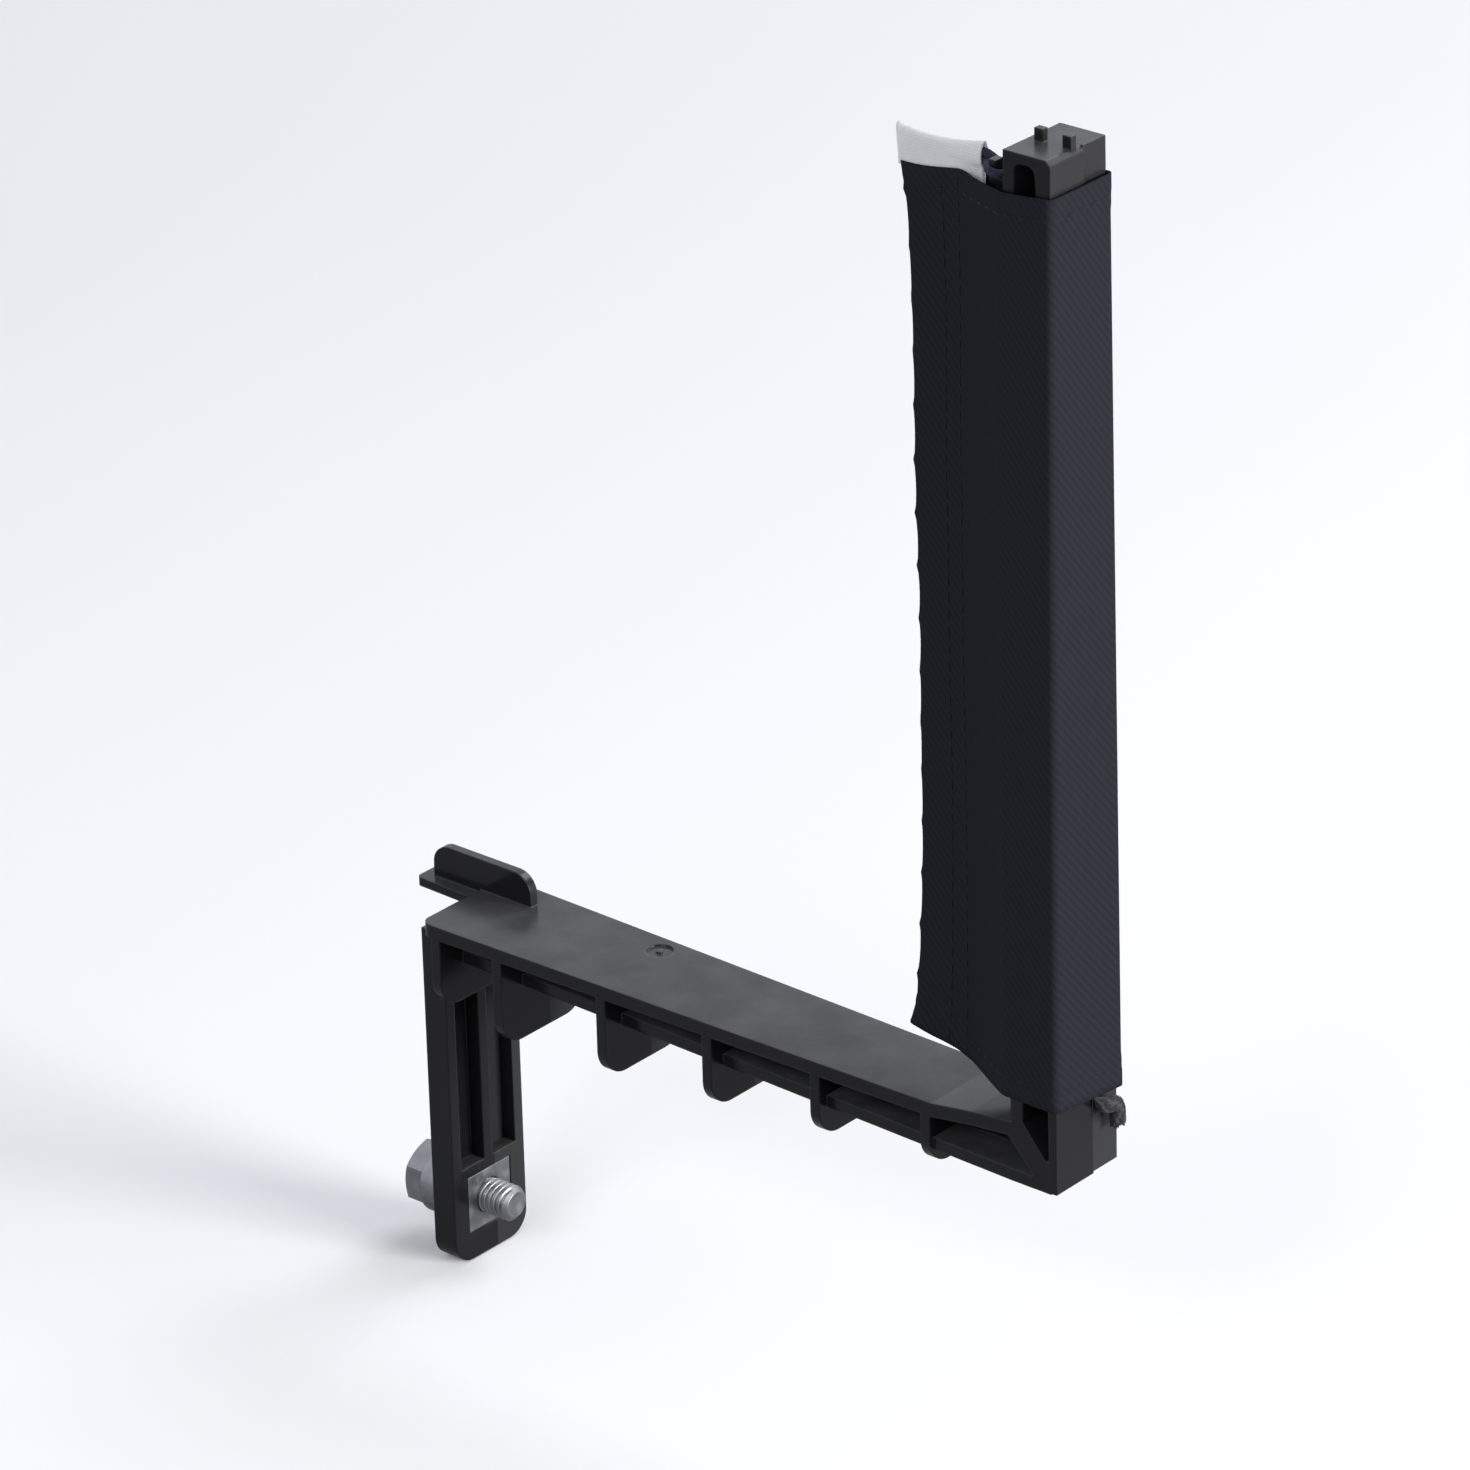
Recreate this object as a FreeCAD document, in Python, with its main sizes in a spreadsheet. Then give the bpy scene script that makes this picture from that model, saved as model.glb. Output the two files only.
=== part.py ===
# Table tennis net clamp: a moulded arm and post, its leg and fixings, and the end pocket of the net.
# X points out from the table, Y along its side and Z up. All lengths are millimetres.
# The origin is the seat: the underside of the tongue, over the middle of the steel edge it grips,
# in the plane of the net.

import FreeCAD, Part
import math
import os
import Sketcher
from FreeCAD import Placement, Rotation, Vector

doc = FreeCAD.newDocument("net_clamp")
sheet = doc.addObject("Spreadsheet::Sheet", "Sizes")

# Driving dimensions: name, value, meaning
SIZES = [
    # The seat on the steel edge
    ("steel_thickness", 2.2, "steel edge sheet that the clamp grips"),
    ("jaw_clearance", 0.1, "free play between the sheet and each jaw face"),
    ("tongue_reach", 9.7, "tongue tip from the middle of the sheet"),
    ("tongue_thickness", 1.5, "tongue over the sheet"),
    ("tongue_front", 2.0, "front edge of the tongue from the net plane"),
    ("tongue_width", 6.4, "tongue along the sheet"),
    ("tongue_round", 1.0, "corners of the tongue tip"),
    ("tongue_taper", 0.4, "front edge further back at the tongue tip"),
    ("fin_inset", 2.1, "start of the grip fin from the tongue tip"),
    ("fin_length", 20.8, "grip fin along the arm"),
    ("fin_thickness", 1.6, "grip fin"),
    ("fin_height", 5.4, "grip fin above the arm"),
    ("fin_round", 3.4, "upper corners of the grip fin"),
    # The arm
    ("arm_start", 2.4, "inboard end of the arm's wide flange"),
    ("arm_top", 2.0, "top of the arm above the seat"),
    ("arm_root_width", 20.0, "upper flange at the table"),
    ("arm_underside", 6.2, "underside of the lower flange below the seat"),
    ("upper_flange", 2.3, "thickness of the upper flange"),
    ("lower_flange", 2.0, "thickness of the lower flange"),
    ("lower_root_width", 9.4, "lower flange at the table"),
    ("web_thickness", 2.0, "middle web of arm and post"),
    ("bend_length", 15.3, "last run of the upper flange, which rises to the post"),
    ("bend_rise", 1.7, "rise of the upper flange at the post"),
    ("bend_share", 0.6, "share of that rise at half its run"),
    ("arm_corner_round", 2.0, "plan corners of the arm at the table"),
    ("gate_place", 39.3, "middle of the moulding's gate mark along the arm"),
    ("gate_side", 5.6, "the same behind the net plane"),
    ("gate_diameter", 4.4, "round recess of the gate mark"),
    ("gate_depth", 0.35, "the same"),
    ("gate_nib", 1.1, "broken nib in its middle"),
    # The ribs
    ("end_rib_place", 5.5, "middle of the end rib"),
    ("end_rib_depth", 12.7, "bottom of the end rib below the seat"),
    ("first_rib_place", 18.3, "middle of the first rib"),
    ("last_rib_gap", 16.4, "middle of the last rib from the post"),
    ("rib_count", 5, "ribs between the end rib and the post"),
    ("rib_thickness", 1.8, "each rib"),
    ("first_rib_depth", 15.5, "bottom of the first rib below the seat"),
    ("last_rib_depth", 9.2, "bottom of the last rib below the seat"),
    ("rib_bow", 0.6, "how far the middle ribs reach below the straight line"),
    ("rib_round", 4.5, "lower corners of the ribs"),
    # The post
    ("post_reach", 129.0, "outer face of the post at its foot"),
    ("post_lean", 0.8, "outer face further in at the head"),
    ("post_top", 159.3, "top of the post above the seat"),
    ("foot_width", 8.7, "post across the net plane's line at its foot"),
    ("head_width", 8.5, "the same at its head"),
    ("foot_depth", 15.2, "post along the table at its foot"),
    ("head_depth", 13.2, "the same at its head"),
    ("inner_wall_foot", 2.3, "inner flange of the post at its foot"),
    ("inner_wall_head", 1.9, "the same at its head"),
    ("outer_wall_foot", 1.45, "outer flange of the post at its foot"),
    ("outer_wall_head", 2.7, "the same at its head"),
    ("top_wall", 1.6, "closed end of the post"),
    ("pocket_round", 1.4, "upper corners of the post's side recesses"),
    ("foot_step", 0.2, "the post's foot above the lower flange's underside"),
    ("gusset_lead", 0.64, "start of the diagonal gusset on the upper flange, inboard of the post"),
    ("gusset_height", 4.2, "top of the gusset on the inner flange"),
    ("recess_low", 0.9, "low point of the side recess below the seat"),
    ("recess_foot", 0.7, "width of the side recess at that point"),
    ("parting_step", 0.35, "step at the mould's parting line on the outer face"),
    ("parting_place", 1.4, "parting line from the net plane"),
    ("head_chamfer", 0.8, "bevel on the outer edge of the head"),
    ("peg_width", 1.5, "each peg on the post"),
    ("peg_depth", 1.2, "each peg along the table"),
    ("peg_height", 2.0, "each peg above the post"),
    ("peg_pitch", 5.1, "from peg to peg"),
    ("peg_inset", 2.2, "first peg from the inner face"),
    ("peg_place", 0.6, "middle of the pegs in front of the net plane"),
    ("hook_reach", 4.9, "net hook from the inner face"),
    ("hook_width", 1.8, "net hook along the table"),
    ("hook_place", 2.8, "middle of the hook in front of the net plane"),
    ("hook_floor", 1.0, "floor of the hook"),
    ("hook_tip", 1.2, "upturned tip of the hook"),
    ("hook_height", 3.6, "whole hook"),
    ("hook_drop", 7.1, "underside of the hook below the post's top"),
    # The leg behind the sheet
    ("leg_thickness", 4.6, "leg"),
    ("leg_width", 17.0, "leg along the table"),
    ("leg_length", 60.5, "bottom of the leg below the seat"),
    ("leg_end", 9.9, "the leg beyond the bolt's axis"),
    ("leg_round", 4.0, "lower corners of the leg"),
    ("leg_rim", 2.0, "rim round the leg's recesses"),
    ("leg_floor", 1.8, "floor of the leg's recesses"),
    ("nut_boss", 14.0, "solid square of the leg round the nut"),
    # The fixings
    ("bolt_diameter", 6.0, "bolt"),
    ("bolt_length", 16.0, "bolt under its head"),
    ("bolt_tip_chamfer", 0.8, "point of the bolt"),
    ("head_flats", 10.0, "bolt's head across flats"),
    ("head_height", 4.0, "bolt's head"),
    ("head_bevel", 0.3, "round face of the bolt's head inside its flats"),
    ("leg_bore", 6.6, "clearance hole in the leg"),
    ("thread_clearance", 0.05, "radial clearance of bolt and nut"),
    ("turn_clearance", 0.05, "between the turning head and the washers"),
    ("nut_flats", 10.0, "square nut across flats"),
    ("nut_height", 3.2, "square nut"),
    ("nut_clearance", 0.1, "round the nut in its recess"),
    ("washer_bore", 6.4, "flat washer's hole"),
    ("washer_diameter", 12.0, "flat washer"),
    ("washer_thickness", 1.6, "flat washer"),
    ("spring_diameter", 11.8, "spring washer"),
    ("spring_thickness", 1.6, "spring washer"),
    ("spring_slit", 1.2, "split of the spring washer"),
    # The net's end pocket
    ("cloth", 0.45, "fabric of the pocket"),
    ("cloth_clearance", 0.2, "between the pocket and the post"),
    ("sleeve_top", 153.8, "upper edge of the pocket at the outer face"),
    ("sleeve_top_front", 152.9, "the same at the post's inner edge"),
    ("flap_top", 150.1, "upper edge of the flap at its free end"),
    ("flap_rise", 1.4, "how far the flap's upper edge rises to the post"),
    ("flap_length", 12.1, "flat flap, from its free end to where the two layers part"),
    ("seam_gap", 12.2, "from there to the post's inner face"),
    ("seam_margin", 0.4, "the layers part inside behind that line"),
    ("flap_thickness", 1.6, "two layers sewn on the net's end"),
    ("hem_front", 8.2, "lower edge of the pocket at its front"),
    ("hem_back", 6.6, "lower edge of the pocket at its back"),
    ("flap_hem", 10.0, "lower edge of the flap at its free end"),
    ("hem_slant", 10.9, "run of the flap's slanting hem"),
    ("sleeve_bevel", 0.6, "corners of the pocket round the post"),
    # The tape end and the cords
    ("tape_thickness", 0.8, "folded tape"),
    ("tape_gap", 8.7, "cut end of the tape from the post's inner face"),
    ("tape_top", 156.2, "upper fold of the tape"),
    ("loop_diameter", 1.3, "net's top cord"),
    ("loop_height", 154.25, "loop above the seat"),
    ("loop_clearance", 0.2, "between the loop and the hook's sides"),
    ("loop_spread", 0.75, "half the distance of the loop's ends at the tape"),
    ("loop_lead", 1.2, "straight run of the loop's ends"),
    ("loop_turn", 0.6, "the loop's sides run straight from this far before the hook's tip"),
    ("loop_bend", 1.1, "bend of the loop"),
    ("cord_diameter", 2.7, "net's bottom cord"),
    ("cord_clearance", 0.3, "between the cord and the post"),
    ("cord_place", 5.2, "hanging tail behind the net plane"),
    ("cord_start", 1.6, "where the cord comes out of the hem"),
    ("cord_drop", 1.0, "lower end of the tail above the seat"),
    ("cord_bend", 2.0, "bend of the cord"),
]

# How far joined forms reach into each other, and cuts past the outer faces
ROOT = 1.0
PAST = 5.0


class Size:
    """A length with its value and the spreadsheet expression that it comes from."""

    def __init__(self, value, text):
        self.value = float(value)
        self.text = text

    def join(self, other, sign, value):
        right = other.text if isinstance(other, Size) else repr(float(other))
        return Size(value, f"({self.text} {sign} {right})")

    def __add__(self, other):
        return self.join(other, "+", self.value + number(other))

    def __sub__(self, other):
        return self.join(other, "-", self.value - number(other))

    def __mul__(self, other):
        return self.join(other, "*", self.value * number(other))

    def __truediv__(self, other):
        return self.join(other, "/", self.value / number(other))

    def __neg__(self):
        return Size(-self.value, f"(0 - {self.text})")


def number(length):
    return length.value if isinstance(length, Size) else float(length)


def fill_sheet():
    """Writes every driving dimension to the spreadsheet and returns them by name."""
    found = {}
    for row, (name, value, meaning) in enumerate(SIZES, start=1):
        sheet.set(f"A{row}", meaning)
        sheet.set(f"B{row}", str(value))
        sheet.setAlias(f"B{row}", name)
        found[name] = Size(value, f"Sizes.{name}")
    doc.recompute()
    return found


S = fill_sheet()
ZERO = Size(0.0, "0")


# Places that several pieces share

jaw_face = S["steel_thickness"] / 2 + S["jaw_clearance"]
leg_back = jaw_face + S["leg_thickness"]
root_half = S["arm_root_width"] / 2
foot_half = S["foot_depth"] / 2
head_half = S["head_depth"] / 2
web_half = S["web_thickness"] / 2
flange_low = S["arm_top"] - S["upper_flange"]
taper_start = S["end_rib_place"] + S["rib_thickness"]
lower_top = S["lower_flange"] - S["arm_underside"]
post_outer_head = S["post_reach"] - S["post_lean"]
post_inner_foot = S["post_reach"] - S["foot_width"]
post_inner_head = post_outer_head - S["head_width"]
bend_start = post_inner_foot - S["bend_length"]
last_rib = post_inner_foot - S["last_rib_gap"]
arm_top_at_post = S["arm_top"] + S["bend_rise"]
bolt_axis = S["leg_end"] - S["leg_length"]


# Helpers for bodies, sketches and features

def new_body(label):
    body = doc.addObject("PartDesign::Body", label)
    body.Label = label
    return body


def origin_plane(body, role):
    for item in body.Origin.OriginFeatures:
        if item.Role == role:
            return item
    raise ValueError(role)


def new_sketch(body, name, plane, offset=None):
    sketch = body.newObject("Sketcher::SketchObject", name)
    sketch.AttachmentSupport = [(origin_plane(body, plane), "")]
    sketch.MapMode = "FlatFace"
    if offset is not None:
        sketch.setExpression(".AttachmentOffset.Base.z", offset.text)
    return sketch


def add_polygon(sketch, corners):
    """A closed polygon whose every corner is placed from the origin by two bound dimensions."""
    first = sketch.GeometryCount
    count = len(corners)
    points = [Vector(number(across), number(up), 0) for across, up in corners]
    for index in range(count):
        sketch.addGeometry(Part.LineSegment(points[index], points[(index + 1) % count]), False)
    for index in range(count):
        following = first + (index + 1) % count
        sketch.addConstraint(Sketcher.Constraint("Coincident", first + index, 2, following, 1))
    for index, corner in enumerate(corners):
        for kind, length in zip(("DistanceX", "DistanceY"), corner):
            row = sketch.addConstraint(
                Sketcher.Constraint(kind, -1, 1, first + index, 1, number(length)))
            if isinstance(length, Size):
                sketch.setExpression(f"Constraints[{row}]", length.text)


def add_circle(sketch, across, up, diameter):
    centre = Vector(number(across), number(up), 0)
    circle = sketch.addGeometry(Part.Circle(centre, Vector(0, 0, 1), number(diameter) / 2), False)
    for kind, length in (("DistanceX", across), ("DistanceY", up)):
        row = sketch.addConstraint(Sketcher.Constraint(kind, -1, 1, circle, 3, number(length)))
        sketch.setExpression(f"Constraints[{row}]", length.text)
    row = sketch.addConstraint(Sketcher.Constraint("Diameter", circle, number(diameter)))
    sketch.setExpression(f"Constraints[{row}]", diameter.text)


def recompute(feature):
    doc.recompute()
    if "Invalid" in feature.State or "Error" in feature.State:
        raise RuntimeError(f"{feature.Name} failed")


def pad(body, name, sketch, length, middle=False, reverse=False):
    feature = body.newObject("PartDesign::Pad", name)
    feature.Profile = sketch
    feature.setExpression("Length", length.text)
    feature.Midplane = middle
    feature.Reversed = reverse
    recompute(feature)


def pocket(body, name, sketch, length=None, middle=False, reverse=False):
    """A cut that must remove material; without a length it goes through everything."""
    before = body.Shape.Volume
    feature = body.newObject("PartDesign::Pocket", name)
    feature.Profile = sketch
    if length is None:
        feature.Type = 1
    else:
        feature.setExpression("Length", length.text)
    feature.Midplane = middle
    feature.Reversed = reverse
    recompute(feature)
    if body.Shape.Volume > before - 0.01:
        raise RuntimeError(f"{name} cuts nothing")


def edge_names(shape, test):
    """Names of the straight edges whose middle point and direction pass the test."""
    names = []
    for index, edge in enumerate(shape.Edges, start=1):
        start, end = edge.Vertexes[0].Point, edge.Vertexes[-1].Point
        if not near(edge.Length, start.distanceToPoint(end), 0.001) or edge.Length < 0.001:
            continue
        along = (end - start).normalize()
        middle = (start + end) / 2
        if test(middle, along, edge.Length):
            names.append(f"Edge{index}")
    return names


def dress(body, kind, name, test, size):
    """A fillet or chamfer on the edges of the body that pass the test."""
    base = body.Tip
    names = edge_names(base.Shape, test)
    if not names:
        raise RuntimeError(f"{name} finds no edge")
    feature = body.newObject(f"PartDesign::{kind}", name)
    feature.Base = (base, names)
    feature.setExpression("Radius" if kind == "Fillet" else "Size", size.text)
    recompute(feature)


def near(one, other, room=0.02):
    return abs(one - number(other)) < room


# The support moulding

def rib_bottom(share):
    """The ribs' lower ends lie on a shallow bow from the first rib to the last."""
    line = S["first_rib_depth"] + (S["last_rib_depth"] - S["first_rib_depth"]) * share
    return -(line + S["rib_bow"] * 4 * (share - share * share))


def add_rib(body, name, place, bottom):
    """A cross rib, as wide as the flange's root until both are trimmed to the arm's taper."""
    half = root_half
    sketch = new_sketch(body, f"{name}_outline", "YZ_Plane", place - S["rib_thickness"] / 2)
    top = (flange_low + S["arm_top"]) / 2
    add_polygon(sketch, [(-half, bottom), (half, bottom), (half, top), (-half, top)])
    pad(body, name, sketch, S["rib_thickness"])


def arm_ribs(body):
    add_rib(body, "end_rib", S["end_rib_place"], -S["end_rib_depth"])
    count = int(S["rib_count"].value)
    for index in range(count):
        share = (ZERO + index) / (S["rib_count"] - 1)
        place = S["first_rib_place"] + (last_rib - S["first_rib_place"]) * share
        add_rib(body, f"rib_{index + 1}", place, rib_bottom(share))


def upper_flange(body):
    """The wide flange with its ribs, padded at the root's width and trimmed to the taper."""
    halfway = (bend_start + post_inner_foot) / 2
    rise = S["bend_rise"] * S["bend_share"]
    sketch = new_sketch(body, "upper_flange_side", "XZ_Plane")
    add_polygon(sketch, [(S["arm_start"], flange_low), (bend_start, flange_low),
                         (halfway, flange_low + rise),
                         (post_inner_foot, flange_low + S["bend_rise"]),
                         (post_inner_foot + ROOT, flange_low + S["bend_rise"]),
                         (post_inner_foot + ROOT, arm_top_at_post),
                         (post_inner_foot, arm_top_at_post),
                         (halfway, S["arm_top"] + rise),
                         (bend_start, S["arm_top"]), (S["arm_start"], S["arm_top"])])
    pad(body, "upper_flange", sketch, S["arm_root_width"], middle=True)
    dress(body, "Fillet", "arm_corners",
          lambda middle, along, length: abs(along.z) > 0.99 and near(middle.x, S["arm_start"]),
          S["arm_corner_round"])
    arm_ribs(body)
    sketch = new_sketch(body, "upper_flange_plan", "XY_Plane")
    trim_end = S["post_reach"] + PAST
    trim_half = root_half + PAST
    for side in (1, -1):
        add_polygon(sketch, [(taper_start, root_half * side),
                             (post_inner_foot, foot_half * side),
                             (trim_end, foot_half * side), (trim_end, trim_half * side),
                             (taper_start, trim_half * side)])
    pocket(body, "upper_flange_taper", sketch, (S["first_rib_depth"] + PAST) * 2, middle=True)
    low = S["arm_underside"].value
    lower_half = S["lower_root_width"] / 2
    dress(body, "Fillet", "rib_corners",
          lambda middle, along, length: (abs(along.x) > 0.99 and middle.z < -low
                                         and abs(middle.y) > lower_half.value),
          S["rib_round"])


def gate_mark(body):
    """A shallow ring cut in the arm's top round the broken nib."""
    sketch = new_sketch(body, "gate_outline", "XY_Plane", S["arm_top"])
    add_circle(sketch, S["gate_place"], S["gate_side"], S["gate_diameter"])
    add_circle(sketch, S["gate_place"], S["gate_side"], S["gate_nib"])
    pocket(body, "gate", sketch, S["gate_depth"])


def lower_flange(body):
    sketch = new_sketch(body, "lower_flange_plan", "XY_Plane", -S["arm_underside"])
    half = S["lower_root_width"] / 2
    start = S["end_rib_place"]
    end = S["post_reach"] - ROOT
    add_polygon(sketch, [(start, -half), (S["first_rib_place"], -half),
                         (post_inner_foot, -foot_half), (end, -foot_half),
                         (end, foot_half), (post_inner_foot, foot_half),
                         (S["first_rib_place"], half), (start, half)])
    pad(body, "lower_flange", sketch, S["lower_flange"])


def post_frame(body):
    """The post's two flanges, its closed head and the diagonal gusset, as one holed profile."""
    low = S["foot_step"] - S["arm_underside"]
    toe = S["post_reach"] - S["foot_width"] / 2
    gusset_left = post_inner_foot - S["gusset_lead"]
    gusset_top = flange_low + S["bend_rise"]
    into_flange = (arm_top_at_post - gusset_top) / (gusset_top - lower_top) / 2
    sketch = new_sketch(body, "post_side", "XZ_Plane")
    add_polygon(sketch, [(toe, low), (S["post_reach"], low),
                         (post_outer_head, S["post_top"]), (post_inner_head, S["post_top"]),
                         (post_inner_foot, arm_top_at_post),
                         (gusset_left - (toe - gusset_left) * into_flange,
                          gusset_top + (gusset_top - lower_top) * into_flange),
                         (toe, lower_top)])
    inner_foot = post_inner_foot + S["inner_wall_foot"]
    outer_foot = S["post_reach"] - S["outer_wall_foot"]
    add_polygon(sketch, [(outer_foot, -S["recess_low"]),
                         (post_outer_head - S["outer_wall_head"], S["post_top"] - S["top_wall"]),
                         (post_inner_head + S["inner_wall_head"], S["post_top"] - S["top_wall"]),
                         (inner_foot, S["gusset_height"]),
                         (outer_foot - S["recess_foot"], -S["recess_low"])])
    pad(body, "post_frame", sketch, S["foot_depth"], middle=True)
    sketch = new_sketch(body, "post_front", "YZ_Plane")
    for side in (1, -1):
        add_polygon(sketch, [(foot_half * side, arm_top_at_post),
                             ((foot_half + PAST) * side, arm_top_at_post),
                             ((foot_half + PAST) * side, S["post_top"]),
                             (head_half * side, S["post_top"])])
    pocket(body, "post_taper", sketch, S["post_reach"] + PAST, reverse=True)
    dress(body, "Fillet", "recess_corners",
          lambda middle, along, length: (abs(along.y) > 0.99
                                         and near(middle.z, S["post_top"] - S["top_wall"])),
          S["pocket_round"])


def middle_web(body):
    sketch = new_sketch(body, "web_outline", "XZ_Plane")
    low = -S["arm_underside"] + S["lower_flange"] / 2
    top = (S["arm_top"] + flange_low) / 2
    add_polygon(sketch, [(S["end_rib_place"], low), (S["post_reach"] - ROOT, low),
                         (post_outer_head - ROOT, S["post_top"] - ROOT),
                         (post_inner_head + ROOT, S["post_top"] - ROOT),
                         (post_inner_foot + ROOT, top), (S["end_rib_place"], top)])
    pad(body, "web", sketch, S["web_thickness"], middle=True)


def tongue_and_fin(body):
    tip = -S["tongue_reach"]
    front = S["tongue_front"]
    back = S["tongue_front"] + S["tongue_width"]
    sketch = new_sketch(body, "tongue_plan", "XY_Plane")
    root = S["arm_start"] + ROOT
    add_polygon(sketch, [(tip, front + S["tongue_taper"]), (root, front), (root, back),
                         (tip, back)])
    pad(body, "tongue", sketch, S["tongue_thickness"])
    dress(body, "Fillet", "tongue_corners",
          lambda middle, along, length: abs(along.z) > 0.99 and near(middle.x, tip),
          S["tongue_round"])
    start = tip + S["fin_inset"]
    end = start + S["fin_length"]
    fin_top = S["arm_top"] + S["fin_height"]
    plane = (front + back) / 2
    sketch = new_sketch(body, "fin_side", "XZ_Plane", -(plane - S["fin_thickness"] / 2))
    add_polygon(sketch, [(start, S["tongue_thickness"] / 2), (end, S["tongue_thickness"] / 2),
                         (end, fin_top), (start, fin_top)])
    pad(body, "fin", sketch, S["fin_thickness"], reverse=True)
    dress(body, "Fillet", "fin_corners",
          lambda middle, along, length: abs(along.y) > 0.99 and near(middle.z, fin_top),
          S["fin_round"])


def leg(body):
    """The flat leg between the sheet and the cover, recessed like the arm, with the nut's seat."""
    half = S["leg_width"] / 2
    bottom = -S["leg_length"]
    sketch = new_sketch(body, "leg_outline", "YZ_Plane", jaw_face)
    add_polygon(sketch, [(-half, bottom), (half, bottom), (half, ZERO), (-half, ZERO)])
    pad(body, "leg", sketch, S["leg_thickness"])
    dress(body, "Fillet", "leg_corners",
          lambda middle, along, length: abs(along.x) > 0.99 and near(middle.z, bottom),
          S["leg_round"])
    top = -S["end_rib_depth"]
    boss_top = bolt_axis + S["nut_boss"] / 2
    sketch = new_sketch(body, "leg_recess_outline", "YZ_Plane", leg_back)
    for side in (1, -1):
        add_polygon(sketch, [(web_half * side, boss_top), ((half - S["leg_rim"]) * side, boss_top),
                             ((half - S["leg_rim"]) * side, top), (web_half * side, top)])
    pocket(body, "leg_recess", sketch, S["leg_thickness"] - S["leg_floor"])
    seat = S["nut_flats"] / 2 + S["nut_clearance"]
    sketch = new_sketch(body, "nut_seat_outline", "YZ_Plane", leg_back)
    add_polygon(sketch, [(-seat, bolt_axis - seat), (seat, bolt_axis - seat),
                         (seat, bolt_axis + seat), (-seat, bolt_axis + seat)])
    pocket(body, "nut_seat", sketch, S["nut_height"] + S["nut_clearance"] * 2)
    sketch = new_sketch(body, "leg_bore_outline", "YZ_Plane")
    add_circle(sketch, ZERO, bolt_axis, S["leg_bore"])
    pocket(body, "leg_bore", sketch, leg_back + PAST, reverse=True)


def head_details(body):
    """The net hook, the bevel, the parting step and the two pegs of the post."""
    inner = post_inner_head
    hook_low = S["post_top"] - S["hook_drop"]
    tip = inner - S["hook_reach"]
    sketch = new_sketch(body, "hook_side", "XZ_Plane", S["hook_place"] - S["hook_width"] / 2)
    add_polygon(sketch, [(tip, hook_low), (inner + ROOT, hook_low),
                         (inner + ROOT, hook_low + S["hook_floor"]),
                         (tip + S["hook_tip"], hook_low + S["hook_floor"]),
                         (tip + S["hook_tip"], hook_low + S["hook_height"]),
                         (tip, hook_low + S["hook_height"])])
    pad(body, "hook", sketch, S["hook_width"])
    high = S["post_top"] + PAST
    beyond = post_outer_head + PAST
    sketch = new_sketch(body, "bevel_side", "XZ_Plane", -S["parting_place"])
    add_polygon(sketch, [(post_outer_head - S["head_chamfer"] - PAST, high),
                         (beyond, S["post_top"] - S["head_chamfer"] - PAST), (beyond, high)])
    pocket(body, "bevel", sketch, foot_half * 2, reverse=True)
    low = -S["arm_underside"] - PAST
    sketch = new_sketch(body, "parting_side", "XZ_Plane", -S["parting_place"])
    add_polygon(sketch, [(S["post_reach"] - S["parting_step"], low), (beyond, low),
                         (beyond, high), (post_outer_head - S["parting_step"], high)])
    pocket(body, "parting_step", sketch, foot_half * 2)
    sketch = new_sketch(body, "peg_plan", "XY_Plane", S["post_top"] - S["top_wall"] / 2)
    for index in range(2):
        left = inner + S["peg_inset"] - S["peg_width"] / 2 + S["peg_pitch"] * index
        right = left + S["peg_width"]
        low = -S["peg_place"] - S["peg_depth"] / 2
        high = -S["peg_place"] + S["peg_depth"] / 2
        add_polygon(sketch, [(left, low), (right, low), (right, high), (left, high)])
    pad(body, "pegs", sketch, S["peg_height"] + S["top_wall"] / 2)


def make_support_moulding():
    body = new_body("support_moulding")
    upper_flange(body)
    gate_mark(body)
    lower_flange(body)
    post_frame(body)
    middle_web(body)
    tongue_and_fin(body)
    leg(body)
    head_details(body)


# The fixings

washer_face = -jaw_face - S["washer_thickness"]
spring_face = washer_face - S["spring_thickness"]
bolt_seat = spring_face - S["turn_clearance"]


def make_captive_nut():
    body = new_body("captive_nut")
    half = S["nut_flats"] / 2
    start = leg_back - S["nut_height"] - S["nut_clearance"]
    sketch = new_sketch(body, "nut_outline", "YZ_Plane", start)
    add_polygon(sketch, [(-half, bolt_axis - half), (half, bolt_axis - half),
                         (half, bolt_axis + half), (-half, bolt_axis + half)])
    add_circle(sketch, ZERO, bolt_axis, S["bolt_diameter"] + S["thread_clearance"] * 2)
    pad(body, "nut", sketch, S["nut_height"])


def make_washer(label, start, outside, thickness):
    body = new_body(label)
    sketch = new_sketch(body, f"{label}_outline", "YZ_Plane", start)
    add_circle(sketch, ZERO, bolt_axis, outside)
    add_circle(sketch, ZERO, bolt_axis, S["washer_bore"])
    pad(body, f"{label}_ring", sketch, thickness)
    return body


def make_lock_washer():
    body = make_washer("lock_washer", spring_face, S["spring_diameter"], S["spring_thickness"])
    slit = S["spring_slit"]
    sketch = new_sketch(body, "split_outline", "XY_Plane", bolt_axis)
    add_polygon(sketch, [(spring_face - ROOT, -slit), (spring_face - ROOT, ZERO),
                         (washer_face + ROOT, slit), (washer_face + ROOT, ZERO)])
    pocket(body, "split", sketch, S["spring_diameter"], reverse=True)


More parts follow.
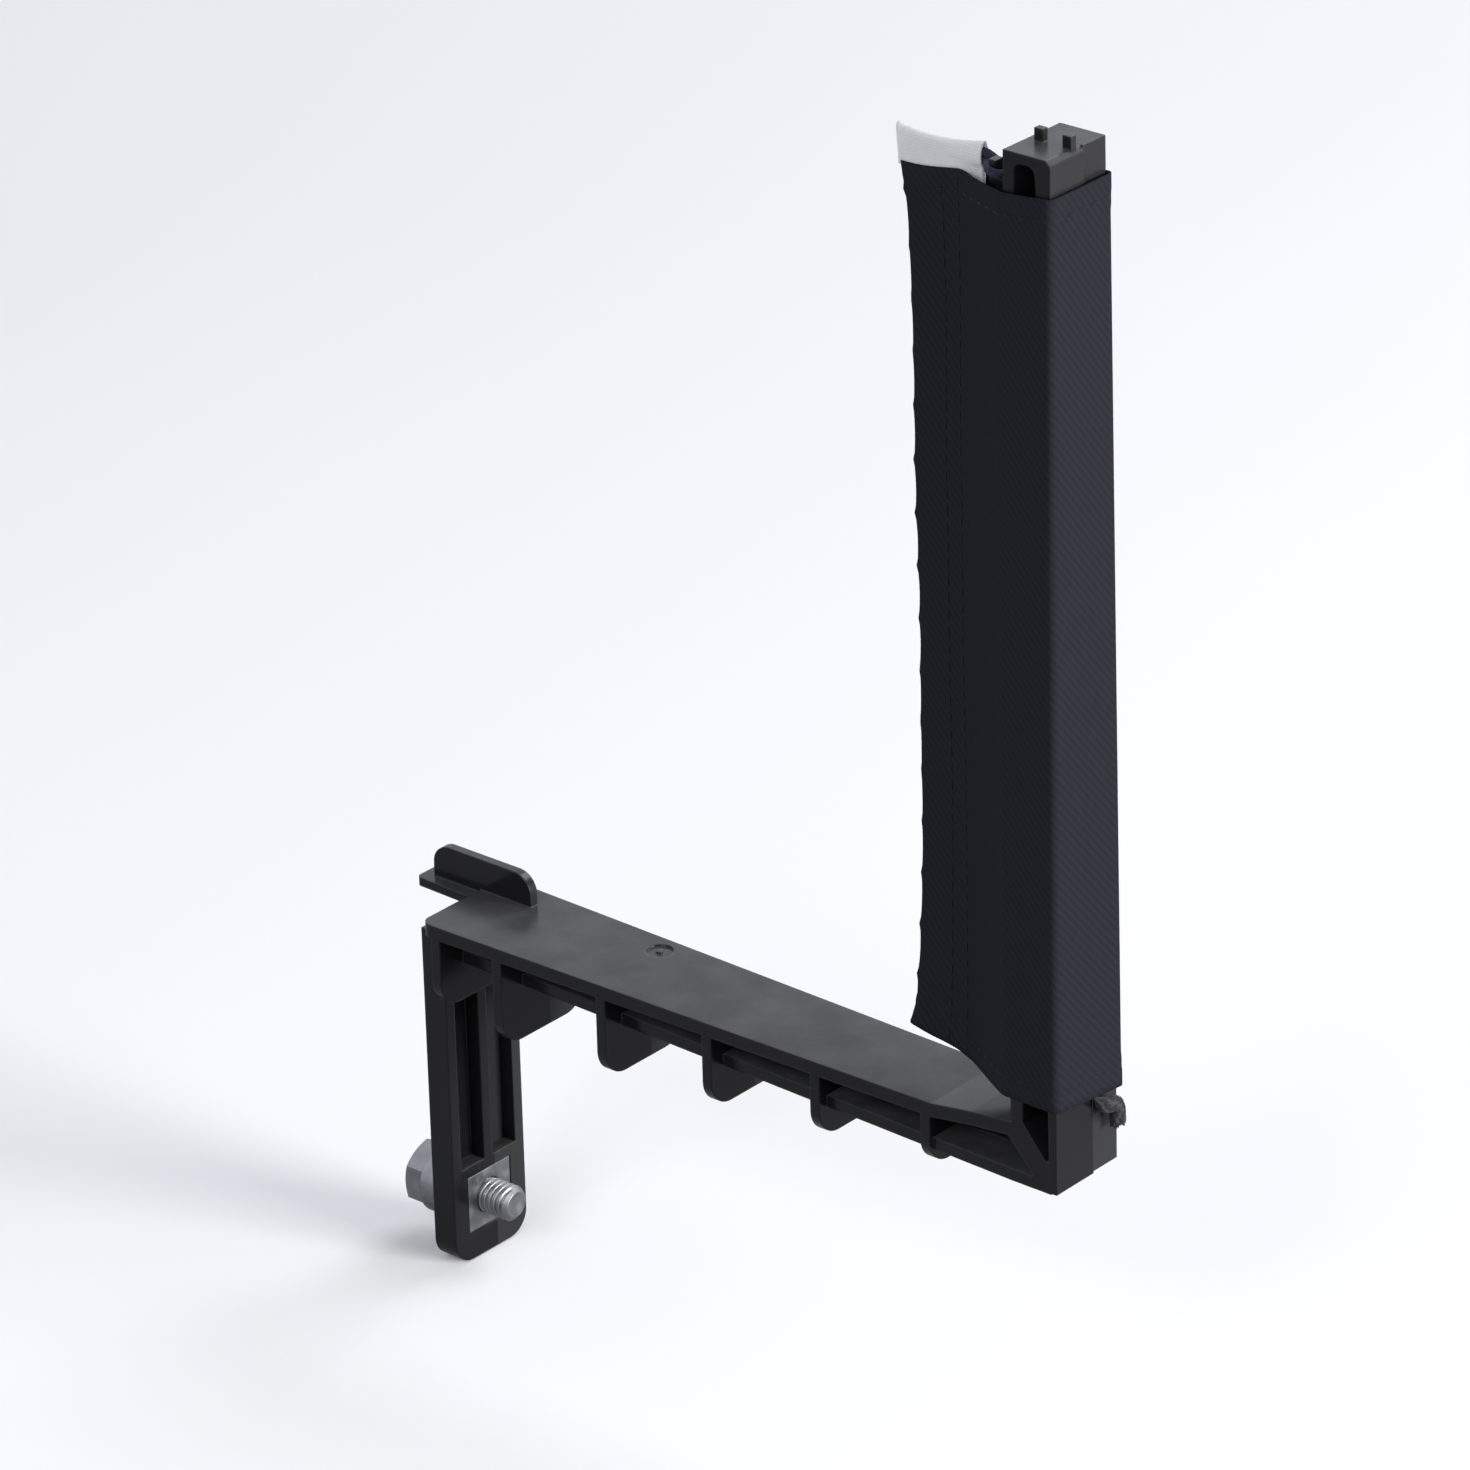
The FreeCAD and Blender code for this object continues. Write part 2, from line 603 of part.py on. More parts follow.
def make_clamp_bolt():
    body = new_body("clamp_bolt")
    corner = S["head_flats"] / (2 * math.cos(math.pi / 6))
    sketch = new_sketch(body, "head_outline", "YZ_Plane", bolt_seat - S["head_height"])
    add_polygon(sketch, [(corner * math.cos(math.pi * side / 3),
                          bolt_axis + corner * math.sin(math.pi * side / 3)) for side in range(6)])
    pad(body, "bolt_head", sketch, S["head_height"])
    outer = bolt_seat - S["head_height"]
    flat = S["head_flats"] / 2 - S["head_bevel"]
    edge = corner + ROOT
    rise = (edge - flat) * math.tan(math.pi / 6)
    sketch = new_sketch(body, "head_bevel_profile", "XZ_Plane")
    add_polygon(sketch, [(outer, bolt_axis + flat), (outer - ROOT, bolt_axis + flat),
                         (outer - ROOT, bolt_axis + edge), (outer + rise, bolt_axis + edge)])
    axis_sketch = new_sketch(body, "bolt_axis_line", "XZ_Plane")
    axis = axis_sketch.addGeometry(
        Part.LineSegment(Vector(0, bolt_axis.value, 0), Vector(1, bolt_axis.value, 0)), False)
    axis_sketch.addConstraint(Sketcher.Constraint("Horizontal", axis))
    axis_sketch.addConstraint(Sketcher.Constraint("DistanceX", -1, 1, axis, 1, 0.0))
    axis_sketch.addConstraint(Sketcher.Constraint("DistanceX", -1, 1, axis, 2, 1.0))
    row = axis_sketch.addConstraint(
        Sketcher.Constraint("DistanceY", -1, 1, axis, 1, bolt_axis.value))
    axis_sketch.setExpression(f"Constraints[{row}]", bolt_axis.text)
    before = body.Shape.Volume
    groove = body.newObject("PartDesign::Groove", "head_bevel")
    groove.Profile = sketch
    groove.ReferenceAxis = (axis_sketch, ["Edge1"])
    groove.Angle = 360
    recompute(groove)
    if body.Shape.Volume > before - 0.01:
        raise RuntimeError("head_bevel cuts nothing")
    sketch = new_sketch(body, "shank_outline", "YZ_Plane", bolt_seat)
    add_circle(sketch, ZERO, bolt_axis, S["bolt_diameter"])
    pad(body, "shank", sketch, S["bolt_length"])
    tip = bolt_seat + S["bolt_length"]
    shank = body.Tip
    names = [f"Edge{index}" for index, edge in enumerate(shank.Shape.Edges, start=1)
             if near(edge.BoundBox.XMin, tip) and near(edge.BoundBox.XMax, tip)]
    point = body.newObject("PartDesign::Chamfer", "shank_point")
    point.Base = (shank, names)
    point.setExpression("Size", S["bolt_tip_chamfer"].text)
    recompute(point)


# The net's end pocket

sleeve_inner = post_inner_head - S["cloth_clearance"]
flap_seam = post_inner_head - S["seam_gap"]
flap_end = flap_seam - S["flap_length"]
tape_end_place = post_inner_head - S["tape_gap"]
flap_half = S["flap_thickness"] / 2
flap_top_seam = S["flap_top"] + S["flap_rise"]


def share_of_post(height):
    return (height - arm_top_at_post) / (S["post_top"] - arm_top_at_post)


def pocket_half(height):
    """Half the pocket's inner depth, which follows the taper of the post."""
    return foot_half - (foot_half - head_half) * share_of_post(height) + S["cloth_clearance"]


def pocket_outer(height):
    """The pocket's inside at the post's outer face, which leans in towards the head."""
    return S["post_reach"] - S["post_lean"] * share_of_post(height) + S["cloth_clearance"]


def sleeve_section(body, name, height, inside):
    half = pocket_half(height)
    outer = pocket_outer(height)
    sketch = new_sketch(body, name, "XY_Plane", height)
    if inside:
        apex = flap_seam + S["seam_margin"]
        add_polygon(sketch, [(outer, -half), (outer, half), (sleeve_inner, half),
                             (apex, ZERO), (sleeve_inner, -half)])
    else:
        side = half + S["cloth"]
        outer = outer + S["cloth"]
        bevel = S["sleeve_bevel"]
        add_polygon(sketch, [(outer - bevel, -side), (outer, bevel - side),
                             (outer, side - bevel), (outer - bevel, side),
                             (sleeve_inner, side),
                             (flap_seam, flap_half), (flap_end, flap_half),
                             (flap_end, -flap_half), (flap_seam, -flap_half),
                             (sleeve_inner, -side)])
    return sketch


def make_net_sleeve():
    """A flat flap that parts into two layers, which go round the post."""
    body = new_body("net_sleeve")
    low = S["hem_back"] - PAST
    high = S["sleeve_top"] + PAST
    loft = body.newObject("PartDesign::AdditiveLoft", "outside")
    loft.Profile = sleeve_section(body, "outside_low", low, False)
    loft.Sections = [sleeve_section(body, "outside_high", high, False)]
    loft.Ruled = True
    recompute(loft)
    hollow = body.newObject("PartDesign::SubtractiveLoft", "inside")
    hollow.Profile = sleeve_section(body, "inside_low", low - ROOT, True)
    hollow.Sections = [sleeve_section(body, "inside_high", high + ROOT, True)]
    hollow.Ruled = True
    recompute(hollow)
    wide = foot_half + S["cloth"] + S["cloth_clearance"]
    beyond = S["post_reach"] + PAST
    before = flap_end - PAST
    below = low - PAST
    above = high + PAST
    hem_slope = (S["hem_front"] - S["hem_back"]) / (wide * 2)
    sketch = new_sketch(body, "hem_side", "YZ_Plane")
    add_polygon(sketch, [(-wide - PAST, S["hem_front"] + hem_slope * PAST),
                         (wide + PAST, S["hem_back"] - hem_slope * PAST),
                         (wide + PAST, below), (-wide - PAST, below)])
    pocket(body, "hem", sketch, beyond, reverse=True)
    sketch = new_sketch(body, "flap_hem_side", "XZ_Plane")
    add_polygon(sketch, [(before, below), (flap_end + S["hem_slant"], below),
                         (flap_end + S["hem_slant"], (S["hem_front"] + S["hem_back"]) / 2),
                         (flap_end, S["flap_hem"]), (before, S["flap_hem"])])
    pocket(body, "flap_hem", sketch, foot_half * 4, middle=True)
    sketch = new_sketch(body, "upper_edge_side", "XZ_Plane")
    add_polygon(sketch, [(before, S["flap_top"]), (flap_end, S["flap_top"]),
                         (flap_seam, flap_top_seam), (tape_end_place, flap_top_seam),
                         (sleeve_inner, S["sleeve_top_front"]),
                         (S["post_reach"], S["sleeve_top"]), (beyond, S["sleeve_top"]),
                         (beyond, above), (before, above)])
    pocket(body, "upper_edge", sketch, foot_half * 4, middle=True)


def make_tape_end():
    body = new_body("tape_end")
    sketch = new_sketch(body, "tape_side", "XZ_Plane")
    add_polygon(sketch, [(flap_end, S["flap_top"]), (flap_seam, flap_top_seam),
                         (tape_end_place, flap_top_seam),
                         (tape_end_place, S["tape_top"]), (flap_end, S["tape_top"])])
    pad(body, "tape", sketch, S["tape_thickness"], middle=True)


# Cords

def rounded_path(corners, bend):
    """Straight runs joined by tangent arcs of one radius."""
    edges = []
    start = corners[0]
    for before, corner, after in zip(corners, corners[1:], corners[2:]):
        back = (before - corner).normalize()
        ahead = (after - corner).normalize()
        half = back.getAngle(ahead) / 2
        reach = bend / math.tan(half)
        entry = corner + back * reach
        leave = corner + ahead * reach
        middle = corner + (back + ahead).normalize() * (bend / math.sin(half) - bend)
        edges.append(Part.LineSegment(start, entry).toShape())
        edges.append(Part.Arc(entry, middle, leave).toShape())
        start = leave
    edges.append(Part.LineSegment(start, corners[-1]).toShape())
    return Part.Wire(edges)


def make_cord(label, corners, bend, diameter):
    path = rounded_path(corners, bend)
    run = corners[1] - corners[0]
    circle = Part.Circle(corners[0], run.normalize(), diameter / 2).toShape()
    tube = path.makePipeShell([Part.Wire([circle])], True, False)
    feature = doc.addObject("Part::Feature", label)
    feature.Label = label
    feature.Shape = tube
    feature.Placement = Placement(Vector(0, 0, 0), Rotation(0, 0, 0))
    wanted = math.pi * diameter ** 2 / 4 * path.Length
    print(f"{label}: {path.Length:.1f} mm long, bends {bend:.1f} mm,"
          f" volume {tube.Volume / wanted:.3f} of section times length")


def make_top_cord_loop():
    """From the cut end of the tape round the tip of the hook and back."""
    level = S["loop_height"].value
    radius = S["loop_diameter"].value / 2
    side = S["hook_width"].value / 2 + S["loop_clearance"].value + radius
    middle = -S["hook_place"].value
    start = tape_end_place.value
    lead = start + S["loop_lead"].value
    spread = S["loop_spread"].value
    far = post_inner_head.value - (S["hook_reach"].value - S["hook_tip"].value) / 2
    near_tip = post_inner_head.value - S["hook_reach"].value - S["loop_turn"].value
    corners = [Vector(start, spread, level), Vector(lead, spread, level),
               Vector(near_tip, middle + side, level),
               Vector(far, middle + side, level), Vector(far, middle - side, level),
               Vector(near_tip, middle - side, level),
               Vector(lead, -spread, level), Vector(start, -spread, level)]
    make_cord("top_cord_loop", corners, S["loop_bend"].value, radius * 2)


def make_bottom_cord():
    """The tail comes out under the hem, turns the back corner and hangs."""
    diameter = S["cord_diameter"].value
    away = S["post_reach"].value + S["cord_clearance"].value + diameter / 2
    level = S["hem_back"].value - diameter / 2
    corners = [Vector(away, S["cord_start"].value, level),
               Vector(away, S["cord_place"].value, level),
               Vector(away, S["cord_place"].value, S["cord_drop"].value)]
    make_cord("bottom_cord", corners, S["cord_bend"].value, diameter)


make_support_moulding()
make_captive_nut()
make_washer("clamp_washer", washer_face, S["washer_diameter"], S["washer_thickness"])
make_lock_washer()
make_clamp_bolt()
make_net_sleeve()
make_tape_end()
make_top_cord_loop()
make_bottom_cord()
doc.recompute()

for item in doc.Objects:
    if "Invalid" in item.State or "Error" in item.State:
        raise RuntimeError(f"{item.Name} failed")

os.makedirs("parts", exist_ok=True)
for item in doc.Objects:
    if item.TypeId in ("PartDesign::Body", "Part::Feature"):
        shape = item.Shape
        if shape.isNull() or not shape.isValid():
            raise RuntimeError(f"{item.Label} has no valid shape")
        print(f"{item.Label}: {len(shape.Solids)} solid, {shape.Volume:.0f} cubic millimetres")
        shape.exportStep(f"parts/{item.Label}.step")
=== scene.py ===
"""Looks of the table tennis net clamp: moulding, zinc-plated fixings and fabric end pocket."""

import math
import random

import bpy
from mathutils import Matrix, Vector


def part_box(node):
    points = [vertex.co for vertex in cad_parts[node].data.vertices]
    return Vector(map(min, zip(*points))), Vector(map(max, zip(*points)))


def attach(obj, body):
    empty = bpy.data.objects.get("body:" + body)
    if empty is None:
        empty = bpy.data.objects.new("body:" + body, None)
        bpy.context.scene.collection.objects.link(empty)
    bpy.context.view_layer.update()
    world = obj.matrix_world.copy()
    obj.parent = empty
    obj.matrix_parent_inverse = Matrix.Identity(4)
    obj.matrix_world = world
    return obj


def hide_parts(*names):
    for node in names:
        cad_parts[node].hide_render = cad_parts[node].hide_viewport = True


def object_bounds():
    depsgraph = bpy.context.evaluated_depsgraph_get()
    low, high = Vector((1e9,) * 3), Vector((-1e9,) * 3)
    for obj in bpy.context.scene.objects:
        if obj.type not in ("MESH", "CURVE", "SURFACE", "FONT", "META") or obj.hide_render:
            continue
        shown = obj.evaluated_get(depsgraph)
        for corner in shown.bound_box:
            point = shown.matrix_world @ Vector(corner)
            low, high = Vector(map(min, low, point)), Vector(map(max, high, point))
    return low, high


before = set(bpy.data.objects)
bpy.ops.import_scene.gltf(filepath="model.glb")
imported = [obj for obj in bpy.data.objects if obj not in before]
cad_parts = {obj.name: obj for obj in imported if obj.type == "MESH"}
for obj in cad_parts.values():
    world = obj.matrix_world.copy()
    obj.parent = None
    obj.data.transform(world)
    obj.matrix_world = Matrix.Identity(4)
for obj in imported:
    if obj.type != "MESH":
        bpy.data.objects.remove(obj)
cad_low, cad_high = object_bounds()

MM = 0.001
chance = random.Random(7)


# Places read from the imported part

moulding_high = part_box("support_moulding")[1]
sleeve_low, sleeve_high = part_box("net_sleeve")
tape_low, tape_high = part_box("tape_end")
loop_low, loop_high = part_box("top_cord_loop")
tail_low, tail_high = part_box("bottom_cord")
bolt_low, bolt_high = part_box("clamp_bolt")


# Small helpers

def smooth(share):
    share = min(max(share, 0.0), 1.0)
    return share * share * (3 - 2 * share)


def between(low, high, value):
    """How far value has come from low to high, from 0 to 1."""
    return min(max((value - low) / (high - low), 0.0), 1.0)


def mesh_object(name, vertices, faces, material, uvs=None):
    mesh = bpy.data.meshes.new(name)
    mesh.from_pydata(vertices, [], faces)
    mesh.update()
    if uvs is not None:
        layer = mesh.uv_layers.new(name="cloth")
        for loop in mesh.loops:
            layer.data[loop.index].uv = uvs[loop.vertex_index]
    mesh.polygons.foreach_set("use_smooth", [True] * len(mesh.polygons))
    mesh.materials.append(material)
    made = bpy.data.objects.new(name, mesh)
    bpy.context.scene.collection.objects.link(made)
    return made


def thicken(made, thickness):
    modifier = made.modifiers.new("thickness", "SOLIDIFY")
    modifier.thickness = thickness
    modifier.offset = 0.0
    modifier.use_even_offset = True


# Materials

STUDIO_WHITE = (0.93, 0.95, 1.0)
# Painted light on the post's outward faces: where the foot is lit behind the parting line, and the
# painted highlight along the head's top edge.
PARTING = 1.4 * MM
PARTING_FADE = 0.2 * MM
PAINTED_LIGHT_FOOT = 20 * MM
PAINTED_HIGHLIGHT_HEAD = 0.65
HEAD_FADE = 2 * MM
PLASTIC_EDGE = 0.45 * MM
ZINC_EDGE = 0.2 * MM
TWILL_PITCH = 1.0 * MM
TWILL_ANGLE = math.radians(-40)
WEFT_SHARE = 0.45
WEFT_ANGLE = math.radians(12)
TAPE_PITCH = 0.42 * MM
FLOOR_NEAR = 0.45
FLOOR_FAR = 1.3


class Shader:
    """One material's node tree, with short ways to add and join its nodes."""

    def __init__(self, name):
        self.material = bpy.data.materials.new(name)
        self.material.use_nodes = True
        self.tree = self.material.node_tree
        self.surface = self.tree.nodes["Principled BSDF"]

    def add(self, kind, **values):
        made = self.tree.nodes.new(f"ShaderNode{kind}")
        for name, value in values.items():
            if name in made.inputs:
                self.give(made.inputs[name], value)
            else:
                setattr(made, name, value)
        return made

    def give(self, socket, value):
        if isinstance(value, bpy.types.NodeSocket):
            self.tree.links.new(value, socket)
        else:
            socket.default_value = value

    def noise(self, place, scale, detail=3.0):
        made = self.add("TexNoise", Vector=place, Scale=scale, Detail=detail)
        return made.outputs["Fac"]

    def mix(self, share, low, high):
        made = self.add("Mix", data_type="RGBA")
        self.give(made.inputs[0], share)
        self.give(made.inputs[6], (*low, 1.0) if isinstance(low, tuple) else low)
        self.give(made.inputs[7], (*high, 1.0) if isinstance(high, tuple) else high)
        return made.outputs[2]

    def span(self, value, low, high, start=0.0, end=1.0):
        made = self.add("MapRange")
        for socket, given in zip(made.inputs, (value, start, end, low, high)):
            self.give(socket, given)
        return made.outputs[0]

    def math(self, operation, first, second=0.0):
        made = self.add("Math", operation=operation)
        self.give(made.inputs[0], first)
        self.give(made.inputs[1], second)
        return made.outputs[0]

    def bump(self, height, distance, strength=1.0, normal=None):
        made = self.add("Bump", Height=height, Distance=distance, Strength=strength)
        if normal is not None:
            self.give(made.inputs["Normal"], normal)
        return made.outputs["Normal"]

    def finish(self, **values):
        for name, value in values.items():
            self.give(self.surface.inputs[name.replace("_", " ")], value)
        return self.material


def painted_light_places(shader, place):
    """Painted light on the post's outward faces: the foot is lighter behind the parting line,
    where a facet faces the light, and the head's top edge gets a painted highlight.
    """
    split = shader.add("SeparateXYZ", Vector=place)
    behind = shader.span(split.outputs["Y"], 0.0, 1.0, PARTING, PARTING + PARTING_FADE)
    low = shader.span(split.outputs["Z"], 1.0, 0.0, sleeve_low.z, sleeve_low.z + PAINTED_LIGHT_FOOT)
    head = shader.span(split.outputs["Z"], 0.0, PAINTED_HIGHLIGHT_HEAD,
                       sleeve_high.z - HEAD_FADE, sleeve_high.z)
    return shader.math("MAXIMUM", shader.math("MULTIPLY", behind, low), head)


def plastic_material():
    """Black injection moulding: satin gloss, fine grain, soft edges, dust specks with a painted
    sheen on upward faces, and painted light on the post's outer face.
    """
    shader = Shader("black_plastic")
    place = shader.add("TexCoord").outputs["Object"]
    broad = shader.noise(place, 55.0)
    flow = shader.noise(place, 38.0, 2.0)
    grain = shader.noise(place, 5200.0, 2.0)
    edge = shader.add("Bevel", samples=6, Radius=PLASTIC_EDGE).outputs["Normal"]
    facing = shader.add("SeparateXYZ", Vector=shader.add("NewGeometry").outputs["Normal"])
    # Upward faces are made lighter: partly dust specks, partly a painted sheen that stands in for
    # the glossy top's reflection.
    upward = shader.span(facing.outputs["Z"], 0.0, 1.0, 0.6, 1.0)
    specks = shader.span(shader.noise(place, 130.0, 7.0), 0.3, 0.65, 0.35, 0.75)
    dust_and_painted_sheen = shader.math("MULTIPLY", upward, specks)
    black = shader.mix(broad, (0.006, 0.006, 0.007), (0.011, 0.011, 0.0125))
    # Painted light: outward faces are made lighter on the foot behind the parting line and along
    # the head's top edge, and mixed into the black below.
    painted_light = shader.math("MULTIPLY", shader.span(facing.outputs["X"], 0.0, 0.5, 0.8, 0.95),
                       painted_light_places(shader, place))
    waves = shader.bump(flow, 0.6 * MM, 0.35, edge)
    black_with_painted_light = shader.mix(painted_light, black, (0.038, 0.039, 0.042))
    return shader.finish(
        Base_Color=shader.mix(dust_and_painted_sheen, black_with_painted_light, (0.105, 0.105, 0.108)),
        Roughness=shader.span(broad, 0.16, 0.28, 0.3, 0.7),
        Specular_IOR_Level=0.25,
        Normal=shader.bump(grain, 0.012 * MM, 0.3, waves))


def zinc_material():
    """Dull zinc plate: cloudy, finely scratched, with slightly soft edges."""
    shader = Shader("zinc_plate")
    place = shader.add("TexCoord").outputs["Object"]
    cloud = shader.noise(place, 420.0)
    scratch = shader.noise(place, 3800.0, 5.0)
    edge = shader.add("Bevel", samples=6, Radius=ZINC_EDGE).outputs["Normal"]
    return shader.finish(
        Base_Color=shader.mix(cloud, (0.19, 0.195, 0.215), (0.36, 0.365, 0.38)),
        Metallic=1.0,
        Roughness=shader.span(cloud, 0.32, 0.50, 0.3, 0.7),
        Normal=shader.bump(scratch, 0.01 * MM, 0.5, edge))


def cloth_waves(shader, pitch, angle):
    """Bands across the cloth's own plane, one band in each pitch."""
    flat = shader.add("UVMap", uv_map="cloth").outputs["UV"]
    turned = shader.add("Mapping", vector_type="POINT", Vector=flat)
    turned.inputs["Rotation"].default_value = (0.0, 0.0, angle)
    split = shader.add("SeparateXYZ", Vector=turned.outputs["Vector"])
    turns = shader.math("MULTIPLY", split.outputs["X"], math.tau / pitch)
    return shader.span(shader.math("SINE", turns), 0.0, 1.0, -1.0, 1.0)


def twill_material():
    """Black twill: diagonal ribs with a grey-blue sheen, crossed by the finer weft, with painted
    shade in the hollows between them.
    """
    shader = Shader("black_twill")
    flat = shader.add("UVMap", uv_map="cloth").outputs["UV"]
    rib = cloth_waves(shader, TWILL_PITCH, TWILL_ANGLE)
    weft = cloth_waves(shader, TWILL_PITCH * WEFT_SHARE, WEFT_ANGLE)
    worn = shader.noise(flat, 260.0, 5.0)
    weave = shader.math("ADD", shader.math("MULTIPLY", rib, 0.75),
                        shader.math("MULTIPLY", weft, 0.25))
    # Painted shade: the weave's hollows get the darker thread colour, its ridges the lighter one.
    share = shader.span(weave, 0.0, 1.0, 0.15, 0.9)
    thread = shader.mix(share, (0.0146, 0.0156, 0.0188), (0.0184, 0.0194, 0.0260))
    return shader.finish(
        Base_Color=shader.mix(shader.span(worn, 0.0, 0.3, 0.45, 0.8), thread,
                              (0.0180, 0.0190, 0.0243)),
        Roughness=0.95,
        Specular_IOR_Level=0.03,
        Sheen_Weight=0.012,
        Sheen_Roughness=0.45,
        Sheen_Tint=(0.58, 0.60, 0.95, 1.0),
        Normal=shader.bump(weave, 0.05 * MM, 0.65))


def tape_material():
    """White cotton tape: a plain weave with painted shade between its threads, slightly soiled,
    which lets a little light through.
    """
    shader = Shader("white_tape")
    flat = shader.add("UVMap", uv_map="cloth").outputs["UV"]
    warp = cloth_waves(shader, TAPE_PITCH, math.radians(90))
    weft = cloth_waves(shader, TAPE_PITCH, 0.0)
    weave = shader.math("MULTIPLY", warp, weft)
    soil = shader.noise(flat, 180.0, 6.0)
    # Painted shade: darker where the weave's threads sink, lighter where they cross on top.
    white = shader.mix(weave, (0.80, 0.80, 0.83), (0.90, 0.90, 0.92))
    return shader.finish(
        Base_Color=shader.mix(shader.span(soil, 0.0, 0.35, 0.5, 0.85), white,
                              (0.70, 0.70, 0.72)),
        Roughness=0.9,
        Specular_IOR_Level=0.2,
        Subsurface_Weight=0.6,
        Subsurface_Scale=1.5 * MM,
        Subsurface_Radius=(1.0, 1.0, 1.0),
        Normal=shader.bump(weave, 0.07 * MM, 0.7))


def yarn_material(name, dark, light):
    """Braided cord: the strands' tone, with painted shade in the braid's grooves, comes with the
    mesh, and fine fibres run over it.
    """
    shader = Shader(name)
    tone = shader.add("Attribute", attribute_name="strand").outputs["Fac"]
    place = shader.add("TexCoord").outputs["Object"]
    fibre = shader.noise(place, 9000.0, 4.0)
    return shader.finish(
        Base_Color=shader.mix(shader.math("MULTIPLY", tone, shader.span(fibre, 0.55, 1.1)),
                              dark, light),
        Roughness=0.8,
        Specular_IOR_Level=0.2,
        Sheen_Weight=0.05,
        Normal=shader.bump(fibre, 0.05 * MM, 0.8))


def floor_material():
    """Pale floor that keeps the shadow, goes over into the white studio and is open from below."""
    shader = Shader("pale_floor")
    place = shader.add("TexCoord").outputs["Object"]
    cloud = shader.noise(place, 3.0)
    pale = shader.mix(cloud, (0.86, 0.865, 0.88), (0.89, 0.895, 0.91))
    seen = shader.add("LightPath").outputs["Is Camera Ray"]
    away = shader.add("VectorMath", operation="LENGTH", Vector=place).outputs["Value"]
    far = shader.span(away, 0.0, 1.0, FLOOR_NEAR, FLOOR_FAR)
    return shader.finish(
        Base_Color=shader.mix(seen, (0.38, 0.38, 0.39), shader.mix(far, pale, (0.0, 0.0, 0.0))),
        Emission_Color=(*STUDIO_WHITE, 1.0),
        Emission_Strength=shader.math("MULTIPLY", seen, far),
        Alpha=shader.math("SUBTRACT", 1.0,
                          shader.add("NewGeometry").outputs["Backfacing"]),
        Specular_IOR_Level=0.0,
        Roughness=0.75)


PLASTIC = plastic_material()
ZINC = zinc_material()
TWILL = twill_material()
TAPE = tape_material()
NAVY = yarn_material("navy_cord", (0.005, 0.006, 0.012), (0.028, 0.032, 0.070))
BRAID = yarn_material("braided_cord", (0.004, 0.004, 0.005), (0.050, 0.050, 0.053))


def dress_cad_pieces():
    for name, material in (("support_moulding", PLASTIC), ("captive_nut", ZINC),
                           ("clamp_washer", ZINC), ("lock_washer", ZINC)):
        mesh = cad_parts[name].data
        mesh.materials.clear()
        mesh.materials.append(material)


# The end pocket

CLOTH = 0.42 * MM
POST_WIDTH = 8.5 * MM
POST_GAP = 0.2 * MM
POST_LEAN = 0.8 * MM
POST_TAPER = 1.0 * MM
SEAM_GAP = 12.0 * MM
FLAP_HALF = 0.42 * MM
HEM_SLANT = 10.9 * MM
EDGE_PULL = 2.2 * MM
EDGE_RUN = 9.0 * MM
RIDGE_PITCH = 8.5 * MM
RIDGE_HEIGHT = 0.16 * MM
RIDGE_WIDTH = 0.55 * MM
SCALLOP = 0.24 * MM
HEM_WIDTH = 4.0 * MM
HEM_SEAM = HEM_WIDTH * 0.8
HEM_FADE = HEM_WIDTH * 1.3
HEM_FOLD = 0.16 * MM
HEM_GROOVE = 0.10 * MM
HEM_RIPPLE = 0.25 * MM
TOP_RIPPLE = 0.2 * MM
FOLD_DEPTH = 0.14 * MM
FREE_EDGE_ROUND = 0.3 * MM
SEAM_ROUND = 9.0 * MM
INNER_ROUND = 2.2 * MM
OUTER_ROUND = 0.9 * MM
POCKET_ROWS = 130
WELD_REACH = 0.001 * MM

outer_foot = moulding_high.x + POST_GAP + CLOTH / 2
half_foot = sleeve_high.y - CLOTH / 2
post_inner = moulding_high.x - POST_LEAN - POST_WIDTH - POST_GAP
seam = post_inner - SEAM_GAP
flap_end = sleeve_low.x + FLAP_HALF
hem_front = sleeve_low.z + 1.7 * MM
hem_back = sleeve_low.z
flap_hem = sleeve_low.z + 3.6 * MM
top_outer = sleeve_high.z
top_inner = sleeve_high.z - 0.9 * MM
top_seam = sleeve_high.z - 2.3 * MM
top_flap = sleeve_high.z - 3.7 * MM


def arc_points(before, corner, after, radius, steps):
    """The rounding of one corner, from the run before it to the run after it."""
    back = (before - corner).normalized()
    ahead = (after - corner).normalized()
    half = back.angle(ahead) / 2
    reach = radius / math.tan(half)
    centre = corner + (back + ahead).normalized() * (radius / math.sin(half))
    entry = corner + back * reach - centre
    leave = corner + ahead * reach - centre
    turn = entry.angle_signed(leave)
    made = []
    for step in range(steps + 1):
        angle = -turn * step / steps
        made.append(centre + Matrix.Rotation(angle, 2) @ entry)
    return made


